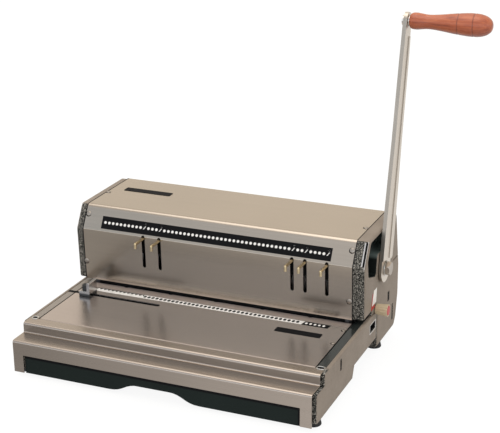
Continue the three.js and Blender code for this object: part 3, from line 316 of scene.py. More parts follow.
class Finish(Nodes):
    """A material under construction: a shader and the nodes that feed it."""

    def __init__(self, name, **constants):
        self.material = bpy.data.materials.new(name)
        self.material.use_nodes = True
        super().__init__(self.material.node_tree)
        self.shader = self.tree.nodes["Principled BSDF"]
        self.coords = self.node("ShaderNodeTexCoord").outputs["Object"]
        self.gets(**constants)

    def gets(self, **sockets):
        """Feeds or sets the shader's own sockets."""
        for name, value in sockets.items():
            self.feed(self.shader.inputs[name.replace("_", " ")], value)

    def stretched(self, scale):
        return self.node("ShaderNodeMapping", Vector=self.coords, Scale=scale).outputs[0]

    def noise(self, scale, detail, roughness, distortion=0.0, vector=None):
        return self.node(
            "ShaderNodeTexNoise", Vector=vector or self.coords, Scale=scale, Detail=detail,
            Roughness=roughness, Distortion=distortion).outputs["Fac"]

    def mottled(self, factor, colour, low, high):
        """The colour between two shares of itself."""
        return self.ramp(factor, [(0.3, tinted(colour, low)), (0.7, tinted(colour, high))])

    def weighed(self, first, share, second):
        """Two tones added, the second with what the first one's share leaves of one."""
        rest = self.math("MULTIPLY", second, 1 - share)
        return self.math("ADD", self.math("MULTIPLY", first, share), rest)

    def place(self, axis):
        """Where a point of the surface lies along an axis, in the row frame's metres."""
        return self.split(self.coords)[axis]

    def behind(self, start, end):
        """Goes from nought to one between two places in Y, in machine millimetres."""
        return self.range(self.place("Y"), 0.0, 1.0, HOME.y + start / 1000, HOME.y + end / 1000)

    def above(self, start, end):
        """Goes from nought to one between two heights in millimetres."""
        return self.range(self.place("Z"), 0.0, 1.0, start / 1000, end / 1000)

    def facing(self, axis):
        """How far the surface faces along an axis."""
        return self.split(self.node("ShaderNodeNewGeometry").outputs["Normal"])[axis]

    def bump(self, height, strength, distance=0.0004):
        relief = self.node("ShaderNodeBump", Strength=strength, Distance=distance, Height=height)
        self.gets(Normal=relief.outputs[0])


def tinted(colour, factor):
    return tuple(min(c * factor, 1) for c in colour)


def brushed_stainless(name, colour, rough, grain=(3, 500, 500), spread=0.7, front=1.0, dulled_and_shaded_throat=False):
    """Sheet with a fine grain along its length and a little cloud. Front multiplies the tone of its forward
    faces, a painted shade. A sheet dulled at the throat is dull and painted paler where paper slides into
    the throat, then black in the throat: painted light and painted shadow."""
    f = Finish(name, Metallic=1.0, Anisotropic=spread, Anisotropic_Rotation=0.25)
    around = f.node("ShaderNodeTangent")
    around.direction_type = "RADIAL"
    around.axis = "X" if grain[0] < grain[2] else "Z"
    lines = f.noise(1, 4, 0.6, vector=f.stretched(grain))
    cloud = f.noise(5, 2, 0.5)
    shade = f.mottled(f.weighed(lines, 0.5, cloud), colour, 0.92, 1.06)
    # Painted shade: the faces turned forward are darkened by the front share.
    if front != 1.0:
        forward = f.range(f.facing("Y"), 1.0, 0.0, -0.85, -0.5)
        shade = f.blend(forward, shade, tinted(colour, front))
    gloss = f.range(lines, rough - 0.02, rough + 0.04)
    if dulled_and_shaded_throat:
        shade, gloss = worn_at_throat(f, shade, gloss, colour)
    f.gets(Base_Color=shade, Roughness=gloss, Tangent=around.outputs[0])
    f.bump(lines, 0.015)
    return f.material


# Where the table turns dull and painted paler, and where the painted shadow of the throat begins, in Y
DULL_AND_PAINTED_PALE_FROM = 172
THROAT_SHADOW = (189.8, 191.2)
SHADOW_BLACK = (0.004, 0.004, 0.004)


def worn_at_throat(f, shade, gloss, colour):
    """The table's rear edge, dull and painted paler (painted light), then black in the throat: painted
    shadow under the panel. Its slot's walls are black too: painted shade.
    """
    gloss = f.math("ADD", gloss, f.math("MULTIPLY", f.behind(DULL_AND_PAINTED_PALE_FROM, DULL_AND_PAINTED_PALE_FROM + 12), 0.35))
    # Painted light: the rear edge twice as pale.
    shade = f.blend(f.behind(DULL_AND_PAINTED_PALE_FROM, DULL_AND_PAINTED_PALE_FROM + 6), shade, tinted(colour, 2.0))
    # Painted shadow in the throat, and painted shade on the faces below the table's top.
    black = f.math("MAXIMUM", f.above(TABLE_Z - 0.5, TABLE_Z - 0.9), f.behind(*THROAT_SHADOW))
    return f.blend(black, shade, SHADOW_BLACK), gloss


def vein_paint(name, on_caps):
    """Black paint with a broken silver vein where it faces forward, plain taupe on the flanks and tops, and
    on the side covers a pale painted highlight along the rounded front edge.
    """
    f = Finish(name, Specular_IOR_Level=0.12)
    veins = f.noise(430 if on_caps else 700, 3, 0.6, 1.0)
    flecks = f.noise(900 if on_caps else 1400, 2, 0.5, 0.4)
    speckle = f.weighed(veins, 0.55, flecks)
    broken = f.ramp(speckle, [
        (0.47, (0.006, 0.007, 0.007)), (0.53, (0.05, 0.05, 0.045)), (0.585, (0.50, 0.475, 0.43))])
    close = f.ramp(f.weighed(speckle, 0.5, f.noise(14, 3, 0.6)), [
        (0.38, (0.222, 0.182, 0.146)), (0.62, (0.308, 0.258, 0.213))])
    forward = f.range(f.math("ABSOLUTE", f.facing("Y")), 0.0, 1.0, 0.22, 0.5)
    if on_caps:
        forward = vein_on_cap_corners(f, forward, speckle)
    painted = f.blend(forward, close, broken)
    # A pale painted highlight where the side covers' front edge turns.
    if not on_caps:
        painted = f.blend(bright_ridge(f), painted, (0.72, 0.70, 0.70))
    f.gets(Base_Color=painted, Metallic=f.range(forward, 0.1, 0.0), Roughness=f.range(speckle, 0.6, 0.42))
    f.bump(speckle, 0.25)
    return f.material


# Where the caps' front tops end and their heels start, in Y, and where the painted ridge highlight starts,
# in Z
FRONT_TOP_ENDS = (52, 46)
HEEL_STARTS = (237, 243)
RIDGE_HIGHLIGHT_FOOT = (147, 152)


def vein_on_cap_corners(f, forward, speckle):
    """The vein runs on over the caps' front tops, and thinly over their heels."""
    upward = f.range(f.facing("Z"), 0.0, 1.0, 0.3, 0.7)
    front_top = f.math("MULTIPLY", f.behind(*FRONT_TOP_ENDS), upward)
    heel = f.math("MULTIPLY", f.behind(*HEEL_STARTS), f.range(speckle, 0.3, 1.0, 0.45, 0.55))
    return f.math("MAXIMUM", f.math("MAXIMUM", forward, front_top), heel)


def bright_ridge(f):
    """Painted highlight: where a side cover's rounded front edge turns, along its facet."""
    side = f.math("ABSOLUTE", f.facing("X"))
    ridge = f.math("MULTIPLY", f.range(side, 0.0, 1.0, 0.35, 0.5), f.range(side, 1.0, 0.0, 0.75, 0.9))
    ridge = f.math("MULTIPLY", ridge, f.range(f.facing("Y"), 1.0, 0.0, -0.4, -0.2))
    return f.math("MULTIPLY", ridge, f.above(*RIDGE_HIGHLIGHT_FOOT))


def moulded(name, colour, rough=0.5, grain=900, relief=0.15, gloss=0.5, painted_shade_heights=None):
    """Moulded plastic or rubber with a fine grain; the last argument gives two heights between which it
    goes dark, a painted shade.
    """
    f = Finish(name, Specular_IOR_Level=gloss)
    pits = f.noise(grain, 2, 0.6)
    shade = f.mottled(f.weighed(pits, 0.35, f.noise(12, 2, 0.5)), colour, 0.82, 1.15)
    # Painted shade: dark past the two heights, and less glossy there.
    if painted_shade_heights:
        depth = f.above(*painted_shade_heights)
        shade = f.blend(depth, shade, tinted(colour, 0.12))
        f.gets(Specular_IOR_Level=f.range(depth, gloss, 0.05))
    f.gets(Base_Color=shade, Roughness=f.range(pits, rough - 0.06, rough + 0.08))
    f.bump(pits, relief, 0.0002)
    return f.material


def polished(name, colour, rough, dark_below=None):
    """Plated or turned metal with faint marks of handling; darker below a height."""
    f = Finish(name, Metallic=1.0)
    marks = f.noise(60, 4, 0.6)
    shade = f.mottled(marks, colour, 0.86, 1.0)
    if dark_below:
        shade = f.blend(f.above(dark_below + 0.8, dark_below - 0.8), shade, (0.10, 0.105, 0.11))
    f.gets(Base_Color=shade, Roughness=f.range(marks, rough, rough + 0.14))
    f.bump(marks, 0.03)
    return f.material


def varnished_wood(name):
    """Red-brown hardwood under varnish, its grain along the grip, darker in the pores, and darker
    underneath: painted shade.
    """
    f = Finish(name, Coat_Weight=0.4, Coat_Roughness=0.16)
    wander = f.noise(1, 5, 0.6, 0.4, vector=f.stretched((9, 120, 120)))
    pores = f.noise(1, 3, 0.7, vector=f.stretched((40, 900, 900)))
    shade = f.ramp(f.weighed(wander, 0.7, pores), [
        (0.32, (0.18, 0.030, 0.009)), (0.48, (0.40, 0.084, 0.026)), (0.66, (0.58, 0.165, 0.060))])
    for groove in GRIP_GROOVES:
        off = f.math("ABSOLUTE", f.math("SUBTRACT", f.place("X"), HOME.x + groove / 1000))
        shade = f.blend(f.range(off, 0.75, 0.0, 0.0004, 0.001), shade, (0.17, 0.032, 0.012))
    # Painted shade: the faces turned down are darkened.
    shade = f.blend(f.range(f.facing("Z"), 0.6, 0.0, -1.0, 0.0), shade, (0.12, 0.020, 0.008))
    f.gets(Base_Color=shade, Roughness=f.range(pores, 0.34, 0.5))
    f.bump(pores, 0.06, 0.0002)
    return f.material


def printed(name, colour, rough, gloss):
    """Ink or film on metal, a touch uneven."""
    f = Finish(name, Specular_IOR_Level=gloss)
    cloud = f.noise(90, 3, 0.6)
    shade = f.mottled(cloud, colour, 0.85, 1.08)
    f.gets(Base_Color=shade, Roughness=f.range(cloud, rough - 0.05, rough + 0.1))
    return f.material


FINISH = {
    "cover": brushed_stainless("cover_stainless", (0.445, 0.384, 0.32), 0.24, spread=0.4),
    "base": brushed_stainless("base_stainless", (0.40, 0.343, 0.297), 0.27, spread=0.5),
    "table": brushed_stainless("table_stainless", (0.480, 0.418, 0.385), 0.225, spread=0.35, dulled_and_shaded_throat=True),
    # The lever's forward faces are darkened to half: painted shade.
    "lever": brushed_stainless("lever_plate", (0.66, 0.59, 0.51), 0.36, (300, 300, 4), 0.4, front=0.5),
    "vein": vein_paint("silver_vein_paint", False),
    "cap_vein": vein_paint("silver_vein_paint_on_caps", True),
    "strip": moulded("edge_strip_plastic", (0.016, 0.020, 0.019), 0.2, 900, 0.05, 0.75),
    # The left strip is the right one's plastic painted pale taupe: a painted reflection of the pale wall.
    "strip_left": moulded("edge_strip_plastic_pale", (0.21, 0.175, 0.145), 0.25, 900, 0.05, 1.0),
    # The recess cup goes dark towards its bottom: painted shade.
    "recess": moulded("recess_plastic", (0.105, 0.135, 0.130), 0.35, 900, 0.08, 0.4, (151, 146)),
    "port": moulded("port_plastic", (0.006, 0.006, 0.006), 0.5, 900, 0.08, 0.2),
    # The drawer goes dark at the top of its front, under the skirt's edge: painted shade.
    "drawer": moulded("drawer_plastic", (0.014, 0.0205, 0.0193), 0.6, 700, 0.25, 0.08, (27.6, 28.4)),
    "rubber": moulded("foot_rubber", (0.012, 0.012, 0.013), 0.75, 500, 0.3),
    "steel": brushed_stainless("ground_steel", (0.50, 0.50, 0.50), 0.3, (300, 300, 300), 0.0),
    "blacked": moulded("blacked_steel", (0.012, 0.012, 0.013), 0.5, 900, 0.1, 0.3),
    "grey": moulded("frame_paint", (0.10, 0.10, 0.11)),
    "brass": polished("brass", (0.62, 0.50, 0.31), 0.22),
    "chrome": polished("bright_plate", (0.66, 0.64, 0.61), 0.12),
    "bead": polished("bead_edge", (0.60, 0.57, 0.55), 0.38),
    "guide": polished("guide_plate", (0.60, 0.58, 0.57), 0.14, 71.5),
    "knurl": moulded("guide_screw_plastic", (0.02, 0.022, 0.024), 0.35, 900, 0.1, 0.6),
    "bolt": polished("bolt_steel", (0.46, 0.40, 0.34), 0.28),
    "screw": polished("screw_steel", (0.36, 0.32, 0.28), 0.35),
    "wood": varnished_wood("grip_wood"),
    "beige": moulded("knob_plastic", (0.56, 0.46, 0.31), 0.45, 600, 0.2),
    "red": moulded("cap_plastic", (0.46, 0.022, 0.022), 0.4, 600, 0.1),
    "ink": printed("scale_black", (0.004, 0.004, 0.005), 0.6, 0.1),
    "white": printed("scale_white", (0.88, 0.86, 0.83), 0.5, 0.2),
}

FEET = ["foot_front_left", "foot_front_right", "foot_rear_left", "foot_rear_right"]
CAPS = ["base_cap_left", "base_cap_right"]
RELEASE_PULLS = [node for node in frame["nodes"] if node.startswith("release_pull")]

NODE_FINISH = {
    "cover": ["base_front_cover", "housing_cover", "rear_cover"],
    "table": ["table_plate"],
    "vein": [*CAPS, "side_cover_left", "side_cover_right"],
    "strip": ["table_strip_left", "table_strip_right"],
    "recess": ["recess_cup_left", "recess_cup_right"],
    "port": ["square_port_cup"],
    "drawer": ["chip_drawer"],
    "rubber": FEET,
    "steel": [
        "punch_pin_comb", "rack_left", "rack_right", "drive_shaft", "pinion_left", "pinion_right",
        "spring_stud_left", "spring_stud_right", "depth_shaft", "paper_backstop"],
    "blacked": ["punch_bar", "die_plate", "pin_guide_plate"],
    "grey": ["base_pan", "side_frame_left", "side_frame_right"],
    "brass": ["shaft_bushing_left", "shaft_bushing_right", *RELEASE_PULLS],
    "chrome": ["return_spring_left", "return_spring_right", "lever_washer", "grip_spindle"],
    "guide": ["side_guide"],
    "knurl": ["side_guide_screw"],
    "bolt": ["lever_bolt"],
    "lever": ["lever_arm"],
    "wood": ["wooden_grip"],
    "beige": ["margin_knob"],
    "red": ["margin_knob_cap"],
}


def dress_nodes():
    for finish, nodes in NODE_FINISH.items():
        for node in nodes:
            mesh = frame["nodes"][node].data
            mesh.materials.clear()
            mesh.materials.append(FINISH[finish])


# Making pieces

SAME_POINT = 2e-6
SAME_FLAT = math.radians(0.4)
FILLET_STEP = math.radians(7)
RIBBON_DEPTH = 0.3
NO_RADIUS = 1e-4


def new_piece(name, mesh, finish):
    """An object for a finished mesh, with its place in the mesh."""
    mesh.name = name
    mesh.materials.clear()
    mesh.materials.append(FINISH[finish])
    piece = bpy.data.objects.new(name, mesh)
    bpy.context.scene.collection.objects.link(piece)
    return piece


def plain_mesh(shell, name):
    mesh = bpy.data.meshes.new(name)
    shell.to_mesh(mesh)
    shell.free()
    return mesh


def made_plain(piece):
    """The piece's modifiers worked into its mesh."""
    graph = bpy.context.evaluated_depsgraph_get()
    shown = piece.evaluated_get(graph)
    mesh = bpy.data.meshes.new_from_object(shown, preserve_all_data_layers=True, depsgraph=graph)
    piece.modifiers.clear()
    piece.data = mesh
    return piece


def rounded_over(piece, width, segments=2, angle=28):
    """Breaks the piece's edges by a width in millimetres and keeps its flats flat in the light."""
    edge = piece.modifiers.new("broken_edge", "BEVEL")
    edge.width = width / 1000
    edge.segments = segments
    edge.limit_method = "ANGLE"
    edge.angle_limit = math.radians(angle)
    edge.miter_outer = "MITER_ARC"
    even = piece.modifiers.new("even_light", "WEIGHTED_NORMAL")
    even.weight = 80
    even.keep_sharp = True
    return made_plain(piece)


def soften(piece, angle):
    """Smooth shading, but for the edges sharper than an angle in degrees."""
    piece.data.shade_smooth()
    piece.data.set_sharp_from_angle(angle=math.radians(angle))
    return piece


def cut(piece, cutters):
    """Takes the cutters' shapes out of the piece."""
    for cutter in cutters:
        step = piece.modifiers.new("cut", "BOOLEAN")
        step.operation = "DIFFERENCE"
        step.solver = "EXACT"
        step.object = cutter
    made_plain(piece)
    for cutter in cutters:
        bpy.data.objects.remove(cutter)
    return piece


def placed(piece, plane):
    """Moves a piece's mesh from its drawing to a plane of the machine: X along, Y up, Z outwards."""
    origin, along, up = plane
    along, up = Vector(along).normalized(), Vector(up).normalized()
    piece.data.transform(stood(at(*origin), along, up, along.cross(up)))
    return piece


def joined(name, finish, pieces):
    """One piece from several."""
    shell = bmesh.new()
    for piece in pieces:
        shell.from_mesh(piece.data)
    mesh = plain_mesh(shell, name)
    for piece in pieces:
        bpy.data.objects.remove(piece)
    return new_piece(name, mesh, finish)


def stands_for(piece, node):
    """The piece takes the node's place: its body, and the node is hidden."""
    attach(piece, frame["nodes"][node]["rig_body"])
    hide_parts(node)


def on_base(piece):
    """The piece stays with the base."""
    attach(piece, "base")


# Outlines and the pieces drawn from them

def rectangle(x0, x1, y0, y1):
    return [(x0, y0), (x1, y0), (x1, y1), (x0, y1)]


def arc(x, y, radius, start, end, steps):
    """Points at even steps between two angles in degrees."""
    turns = [math.radians(start + (end - start) * k / steps) for k in range(steps + 1)]
    return [(x + radius * math.cos(turn), y + radius * math.sin(turn)) for turn in turns]


def circle(x, y, radius, sides):
    return arc(x, y, radius, 0, 360, sides)[:-1]


def rounded_box(x0, x1, y0, y1, radius):
    """A rectangle's outline with round corners."""
    left, right, low, high = x0 + radius, x1 - radius, y0 + radius, y1 - radius
    outline = []
    for start, x, y in ((0, right, high), (90, left, high), (180, left, low), (270, right, low)):
        outline += arc(x, y, radius, start, start + 90, 4)
    return outline


def filleted(points, radii):
    """An open line with an arc in place of each inner corner."""
    line = [Vector(points[0])]
    for before, corner, after, radius in zip(points, points[1:], points[2:], radii):
        corner = Vector(corner)
        back = (Vector(before) - corner).normalized()
        on = (Vector(after) - corner).normalized()
        half = back.angle(on) / 2
        centre = corner + (back + on).normalized() * radius / math.sin(half)
        start = corner + back * radius / math.tan(half) - centre
        end = corner + on * radius / math.tan(half) - centre
        turn = start.angle_signed(end)
        steps = max(3, math.ceil(abs(turn) / FILLET_STEP))
        for i in range(steps + 1):
            line.append(centre + Matrix.Rotation(-turn * i / steps, 2) @ start)
    line.append(Vector(points[-1]))
    return line


def parallel(line, distance):
    """The line moved sideways, to the left of its run."""
    moved = []
    for i, point in enumerate(line):
        runs = [(line[j + 1] - line[j]).normalized() for j in (i - 1, i) if 0 <= j < len(line) - 1]
        sides = [Vector((-run.y, run.x)) for run in runs]
        middle = sum(sides, Vector((0, 0))).normalized()
        moved.append(point + middle * distance / middle.dot(sides[0]))
    return moved


def grown(outline, distance):
    """A closed outline moved outwards by a distance, or inwards."""
    points = [Vector(q) for q in outline]
    area = sum(a.cross(b) for a, b in zip(points, points[1:] + points[:1]))
    moved = parallel([points[-1], *points, points[0]], -distance if area > 0 else distance)
    return [tuple(q) for q in moved[1:-1]]


def eased(stops, step):
    """Points at even steps on a smooth curve through the stops."""
    curve = []
    for i in range(len(stops) - 1):
        p0, p1, p2, p3 = (Vector(stops[min(max(k, 0), len(stops) - 1)]) for k in (i - 1, i, i + 1, i + 2))
        count = max(2, round((p2 - p1).length / step))
        for k in range(count):
            t = k / count
            curve.append(0.5 * (
                2 * p1 + (p2 - p0) * t + (2 * p0 - 5 * p1 + 4 * p2 - p3) * t * t
                + (3 * p1 - p0 - 3 * p2 + p3) * t ** 3))
    curve.append(Vector(stops[-1]))
    return curve


def bridge(shell, rings):
    """Faces between each ring of points and the next, where a ring may be one point repeated."""
    for first, second in zip(rings, rings[1:]):
        for k in range(len(first)):
            m = (k + 1) % len(first)
            corners = list(dict.fromkeys((first[k], first[m], second[m], second[k])))
            if len(corners) > 2:
                shell.faces.new(corners)


def closed_piece(name, finish, shell):
    """A piece from a closed shell, its faces turned outwards."""
    bmesh.ops.recalc_face_normals(shell, faces=shell.faces)
    return new_piece(name, plain_mesh(shell, name), finish)


def capped_piece(name, finish, rings):
    """A piece over rings of points, its first and last ring filled."""
    shell = bmesh.new()
    corners = [[shell.verts.new(q) for q in ring] for ring in rings]
    bridge(shell, corners)
    shell.faces.new(list(reversed(corners[0])))
    shell.faces.new(corners[-1])
    return closed_piece(name, finish, shell)


def band(name, finish, outer, inner, x0, x1):
    """A strip of sheet between two lines in the YZ plane, from x0 to x1."""
    return capped_piece(name, finish, [
        [at(x, *q) for x, q in ((x0, b), (x1, b), (x1, a), (x0, a))] for a, b in zip(outer, inner)])


def ribbon(name, finish, line, x0, x1, proud):
    """A thin band laid over a line in the YZ plane, standing proud of it by a little."""
    return band(name, finish, parallel(line, proud), parallel(line, -RIBBON_DEPTH), x0, x1)


def flat_plate(name, finish, outline, low, high):
    """A thin plate in its drawing plane, from its outline in millimetres between two heights."""
    return capped_piece(name, finish, [
        [Vector((x, y, z)) / 1000 for x, y in outline] for z in (low, high)])


def plate_on(plane, name, finish, outline, low, high):
    return placed(flat_plate(name, finish, outline, low, high), plane)


def across_plate(name, finish, outline, x0, x1):
    """A plate with an outline in the YZ plane, between two places in X."""
    low, high = sorted((x0, x1))
    return plate_on(side_plane(low), name, finish, outline, 0.0, high - low)


def ring_plate(name, finish, outline, width, low, high):
    """A flat rim around an outline, in its drawing plane."""
    rim = flat_plate(name, finish, grown(outline, width), low, high)
    return cut(rim, [flat_plate("rim_cutter", finish, outline, low - 1, high + 1)])


def turned(name, finish, profile, axis, sides):
    """A piece turned about an axis along X, from a closed line of places in X and radii."""
    shell = bmesh.new()
    rings = []
    for x, radius in profile:
        if radius < NO_RADIUS:
            rings.append([shell.verts.new(at(x, *axis))] * sides)
        else:
            rings.append([shell.verts.new(at(x, *q)) for q in circle(*axis, radius, sides)])
    bridge(shell, [*rings, rings[0]])
    return closed_piece(name, finish, shell)


# The solids in their finished form

PANEL_Y = 187
PULL_SLOT_REACH = 2.6
PULL_SLOT_ENDS = (103.7, 153.0)
PULL_SLOT_CORNER = 2.5
DRAWER_MOUTH = (-200.3, 199.8, -5, 32.8)
# The carrying recess from the side, in Y and Z
RECESS = [
    (199.0, 156.4), (201.6, 135.5), (204.5, 131.8), (231.0, 123.4), (236.4, 126.2), (238.6, 148.0),
    (242.5, 152.0), (286.0, 152.0), (290.0, 156.0), (290.0, 175.8), (286.4, 179.6), (212.6, 179.6),
    (209.4, 178.0)]
CUP_DEPTH = 19.0
CUP_WALL = 0.9
CUP_FLOOR = 1.6
# The grip's outline, in X and radius
GRIP_BODY = [
    (229.9, 9.4), (233.0, 11.0), (239.0, 11.35), (245.2, 10.6), (252.5, 9.75), (260.8, 9.95), (274.2, 11.4),
    (290.9, 13.7), (307.6, 15.3), (317.0, 15.5), (325.5, 14.8), (333.3, 12.3), (338.6, 8.2), (340.7, 4.0),
    (341.1, 0.0)]
GRIP_HEEL = [(229.6, 4.4), (229.6, 8.8)]
GRIP_BORE = [(334.1, 0.0), (334.1, 4.4)]
GRIP_STEP = 0.8
GRIP_SIDES = 40
GROOVE_DEPTH = 0.45
GROOVE_REACH = 1.2


def own_form(node, finish, smooth=38):
    """A piece of the node's own form, with its loose triangles joined and each flat made one face."""
    shell = bmesh.new()
    shell.from_mesh(frame["nodes"][node].data)
    bmesh.ops.remove_doubles(shell, verts=shell.verts, dist=SAME_POINT)
    bmesh.ops.dissolve_limit(shell, angle_limit=SAME_FLAT, verts=shell.verts, edges=shell.edges)
    return soften(new_piece(node + "_shaped", plain_mesh(shell, node), finish), smooth)


def shaped(node, finish, width, segments=2, angle=28, smooth=38):
    """The node in its own form with its edges broken."""
    stands_for(rounded_over(own_form(node, finish, smooth), width, segments, angle), node)


def finished_sheet(piece, node):
    stands_for(rounded_over(soften(piece, 20), 0.25, 1, 40), node)


def shape_housing_sheet():
    """Panel, facet and top in one bent sheet, with the five slots of the release pulls."""
    line = filleted(HOUSING_LINE, HOUSING_BENDS)
    piece = band("housing_sheet", "cover", line, parallel(line, -SHEET), *HOUSING_SIDES)
    cutters = []
    for hole in PULLED_HOLES:
        x0, x1 = hole_x(hole) - PULL_SLOT_REACH, hole_x(hole) + PULL_SLOT_REACH
        slot = rounded_box(x0, x1, *PULL_SLOT_ENDS, PULL_SLOT_CORNER)
        cutters.append(plate_on(front_plane(PANEL_Y), "slot_cutter", "ink", slot, -8.0, 12.0))
    finished_sheet(cut(piece, cutters), "housing_cover")


def shape_base_sheet():
    """Skirt, ledge, riser and top strip in one bent sheet, cut out for the drawer."""
    line = filleted(BASE_LINE, BASE_BENDS)
    piece = band("base_sheet", "base", line, parallel(line, -SHEET), *BASE_SIDES)
    mouth = plate_on(front_plane(0), "mouth_cutter", "ink", rectangle(*DRAWER_MOUTH), -8.0, 8.0)
    finished_sheet(cut(piece, [mouth]), "base_front_cover")


def shape_recess(end, outer, side):
    """The end cover with its carrying recess cut to its full width, and the cup behind it."""
    inner = outer - side * CUP_DEPTH
    cover, cup = "side_cover_" + end, "recess_cup_" + end
    window = across_plate("recess_cutter", "ink", RECESS, outer - side * 30, outer + side * 4)
    stands_for(rounded_over(cut(own_form(cover, "vein"), [window]), 1.2, 3), cover)
    body = across_plate(cup + "_shaped", "recess", grown(RECESS, CUP_WALL), inner, outer - side * 0.5)
    hollow = across_plate(
        "hollow_cutter", "ink", grown(RECESS, -0.6), inner + side * CUP_FLOOR, outer + side * 4)
    stands_for(rounded_over(cut(body, [hollow]), 0.5), cup)


def shape_grip():
    """The turned grip: a ball at the lever, a waist, a full belly with two cut lines, and its bore."""
    body = eased(GRIP_BODY, GRIP_STEP)
    for point in body:
        for groove in GRIP_GROOVES:
            point.y -= GROOVE_DEPTH * max(0.0, 1 - abs(point.x - groove) / GROOVE_REACH)
    profile = [*GRIP_HEEL, *body, *GRIP_BORE]
    grip = turned("turned_grip", "wood", profile, GRIP_AXIS, GRIP_SIDES)
    stands_for(soften(grip, 50), "wooden_grip")


def shape_sheets_and_covers():
    shape_housing_sheet()
    shape_base_sheet()
    shaped("rear_cover", "cover", 0.3)
    shaped("table_plate", "table", 0.3)
    for node in CAPS:
        shaped(node, "cap_vein", 0.9, 3)
    shape_recess("right", RIGHT_FACE, 1)
    shape_recess("left", LEFT_FACE, -1)
    shaped("table_strip_left", "strip_left", 0.5)
    shaped("table_strip_right", "strip", 0.5)
    shaped("square_port_cup", "port", 0.3)
    shaped("chip_drawer", "drawer", 0.6, 3)
    for node in FEET:
        shaped(node, "rubber", 0.8, 3, 40, 45)


def shape_moving_pieces():
    shaped("lever_arm", "lever", 0.6, 3, 28, 30)
    shaped("lever_washer", "chrome", 0.25)
    shaped("lever_bolt", "bolt", 0.4)
    shaped("grip_spindle", "chrome", 0.3)
    shape_grip()
    shaped("margin_knob", "beige", 0.3)
    shaped("margin_knob_cap", "red", 0.3)
    shaped("side_guide", "guide", 0.3)
    shaped("side_guide_screw", "knurl", 0.2)
    for node in RELEASE_PULLS:
        shaped(node, "brass", 0.1, 1, 50, 60)


# Layouts: node trees that repeat a shape, with their sizes as named inputs

class Layout(Nodes):
    """A geometry tree under construction; it ends in one mesh of one finish."""

    def __init__(self, name):
        super().__init__(bpy.data.node_groups.new(name, "GeometryNodeTree"))
        self.keys = {}
        self.inlet = self.node("NodeGroupInput")
        self.outlet = self.node("NodeGroupOutput")
        self.tree.interface.new_socket("Shape", in_out="OUTPUT", socket_type="NodeSocketGeometry")
        self.source = self.asks("Places", "Geometry")
        self.finish = self.asks("Finish", "Material")

    def asks(self, label, kind="Float"):
        socket = self.tree.interface.new_socket(label, in_out="INPUT", socket_type="NodeSocket" + kind)
        self.keys[label] = socket.identifier
        return self.inlet.outputs[label]

    def vector(self, x=0.0, y=0.0, z=0.0):
        return self.node("ShaderNodeCombineXYZ", X=x, Y=y, Z=z).outputs[0]

    def moved(self, shape, **change):
        return self.node("GeometryNodeTransform", Geometry=shape, **change).outputs[0]

    def row(self, count, pitch):
        """Points from zero along X."""
        return self.node("GeometryNodeMeshLine", Count=count, Offset=self.vector(pitch)).outputs["Mesh"]

    def repeat(self, places, shape, **turn):
        node = self.node("GeometryNodeInstanceOnPoints", Points=places, Instance=shape, **turn)
        return node.outputs["Instances"]

    def ends(self, shape):
        real = self.node("GeometryNodeRealizeInstances", Geometry=shape)
        coloured = self.node("GeometryNodeSetMaterial", Geometry=real.outputs[0], Material=self.finish)
        self.feed(self.outlet.inputs[0], coloured.outputs[0])
        return self


def laid_out(name, layout, finish, sizes, places=()):
    """Runs a layout on the given places and keeps its result as a plain mesh."""
    points = bpy.data.meshes.new(name)
    points.from_pydata([Vector((x, y, 0)) / 1000 for x, y in places], [], [])
    piece = new_piece(name, points, finish)
    pattern = piece.modifiers.new("layout", "NODES")
    pattern.node_group = layout.tree
    pattern[layout.keys["Finish"]] = FINISH[finish]
    for label, value in sizes.items():
        pattern[layout.keys[label]] = value if isinstance(value, int) else value / 1000
    return made_plain(piece)


def dot_layout():
    """Round dots in a row."""
    t = Layout("dot_row")
    places = t.row(t.asks("Count", "Int"), t.asks("Pitch"))
    dot = t.node(
        "GeometryNodeMeshCylinder", Vertices=14, Radius=t.asks("Radius"), Depth=t.asks("Thickness"))
    return t.ends(t.repeat(places, dot.outputs["Mesh"]))


def tooth_layout():
    """Triangular marks in a row, point upwards."""
    t = Layout("tooth_row")
    places = t.row(t.asks("Count", "Int"), t.asks("Pitch"))
    width, height = t.asks("Width"), t.asks("Height")
    tooth = t.node("GeometryNodeMeshCylinder", Vertices=3, Radius=1.0, Depth=t.asks("Thickness"))
    upright = t.moved(tooth.outputs["Mesh"], Rotation=(0, 0, math.radians(90)))
    size = t.vector(t.math("DIVIDE", width, math.sqrt(3)), t.math("DIVIDE", height, 1.5), 1.0)
    return t.ends(t.repeat(places, t.moved(upright, Scale=size)))


def screw_layout():
    """Cross-head screws, each turned as the screwdriver left it."""
    t = Layout("cross_head_screws")
    radius, height = t.asks("Head radius"), t.asks("Head height")
    slot, depth = t.asks("Slot width"), t.asks("Slot depth")
    ball = t.node("GeometryNodeMeshUVSphere", Segments=20, Rings=10, Radius=1.0)
    dome = t.moved(ball.outputs["Mesh"], Scale=t.vector(radius, radius, height))
    reach = t.math("MULTIPLY", radius, 1.15)
    cross = t.node("GeometryNodeJoinGeometry")
    for sides in (t.vector(reach, slot, depth), t.vector(slot, reach, depth)):
        t.feed(cross.inputs[0], t.node("GeometryNodeMeshCube", Size=sides).outputs["Mesh"])
    sunk = t.node("GeometryNodeMeshBoolean")
    sunk.operation = "DIFFERENCE"
    t.feed(sunk.inputs[0], dome)
    t.feed(sunk.inputs[1], t.moved(cross.outputs[0], Translation=t.vector(0.0, 0.0, height)))
    angle = t.node("FunctionNodeRandomValue", Min=0.0, Max=math.pi, Seed=t.asks("Seed", "Int"))
    turn = t.vector(0.0, 0.0, next(s for s in angle.outputs if s.enabled))
    return t.ends(t.repeat(t.source, sunk.outputs["Mesh"], Rotation=turn))


# Print on the sheets: the two hole scales and the bare plates

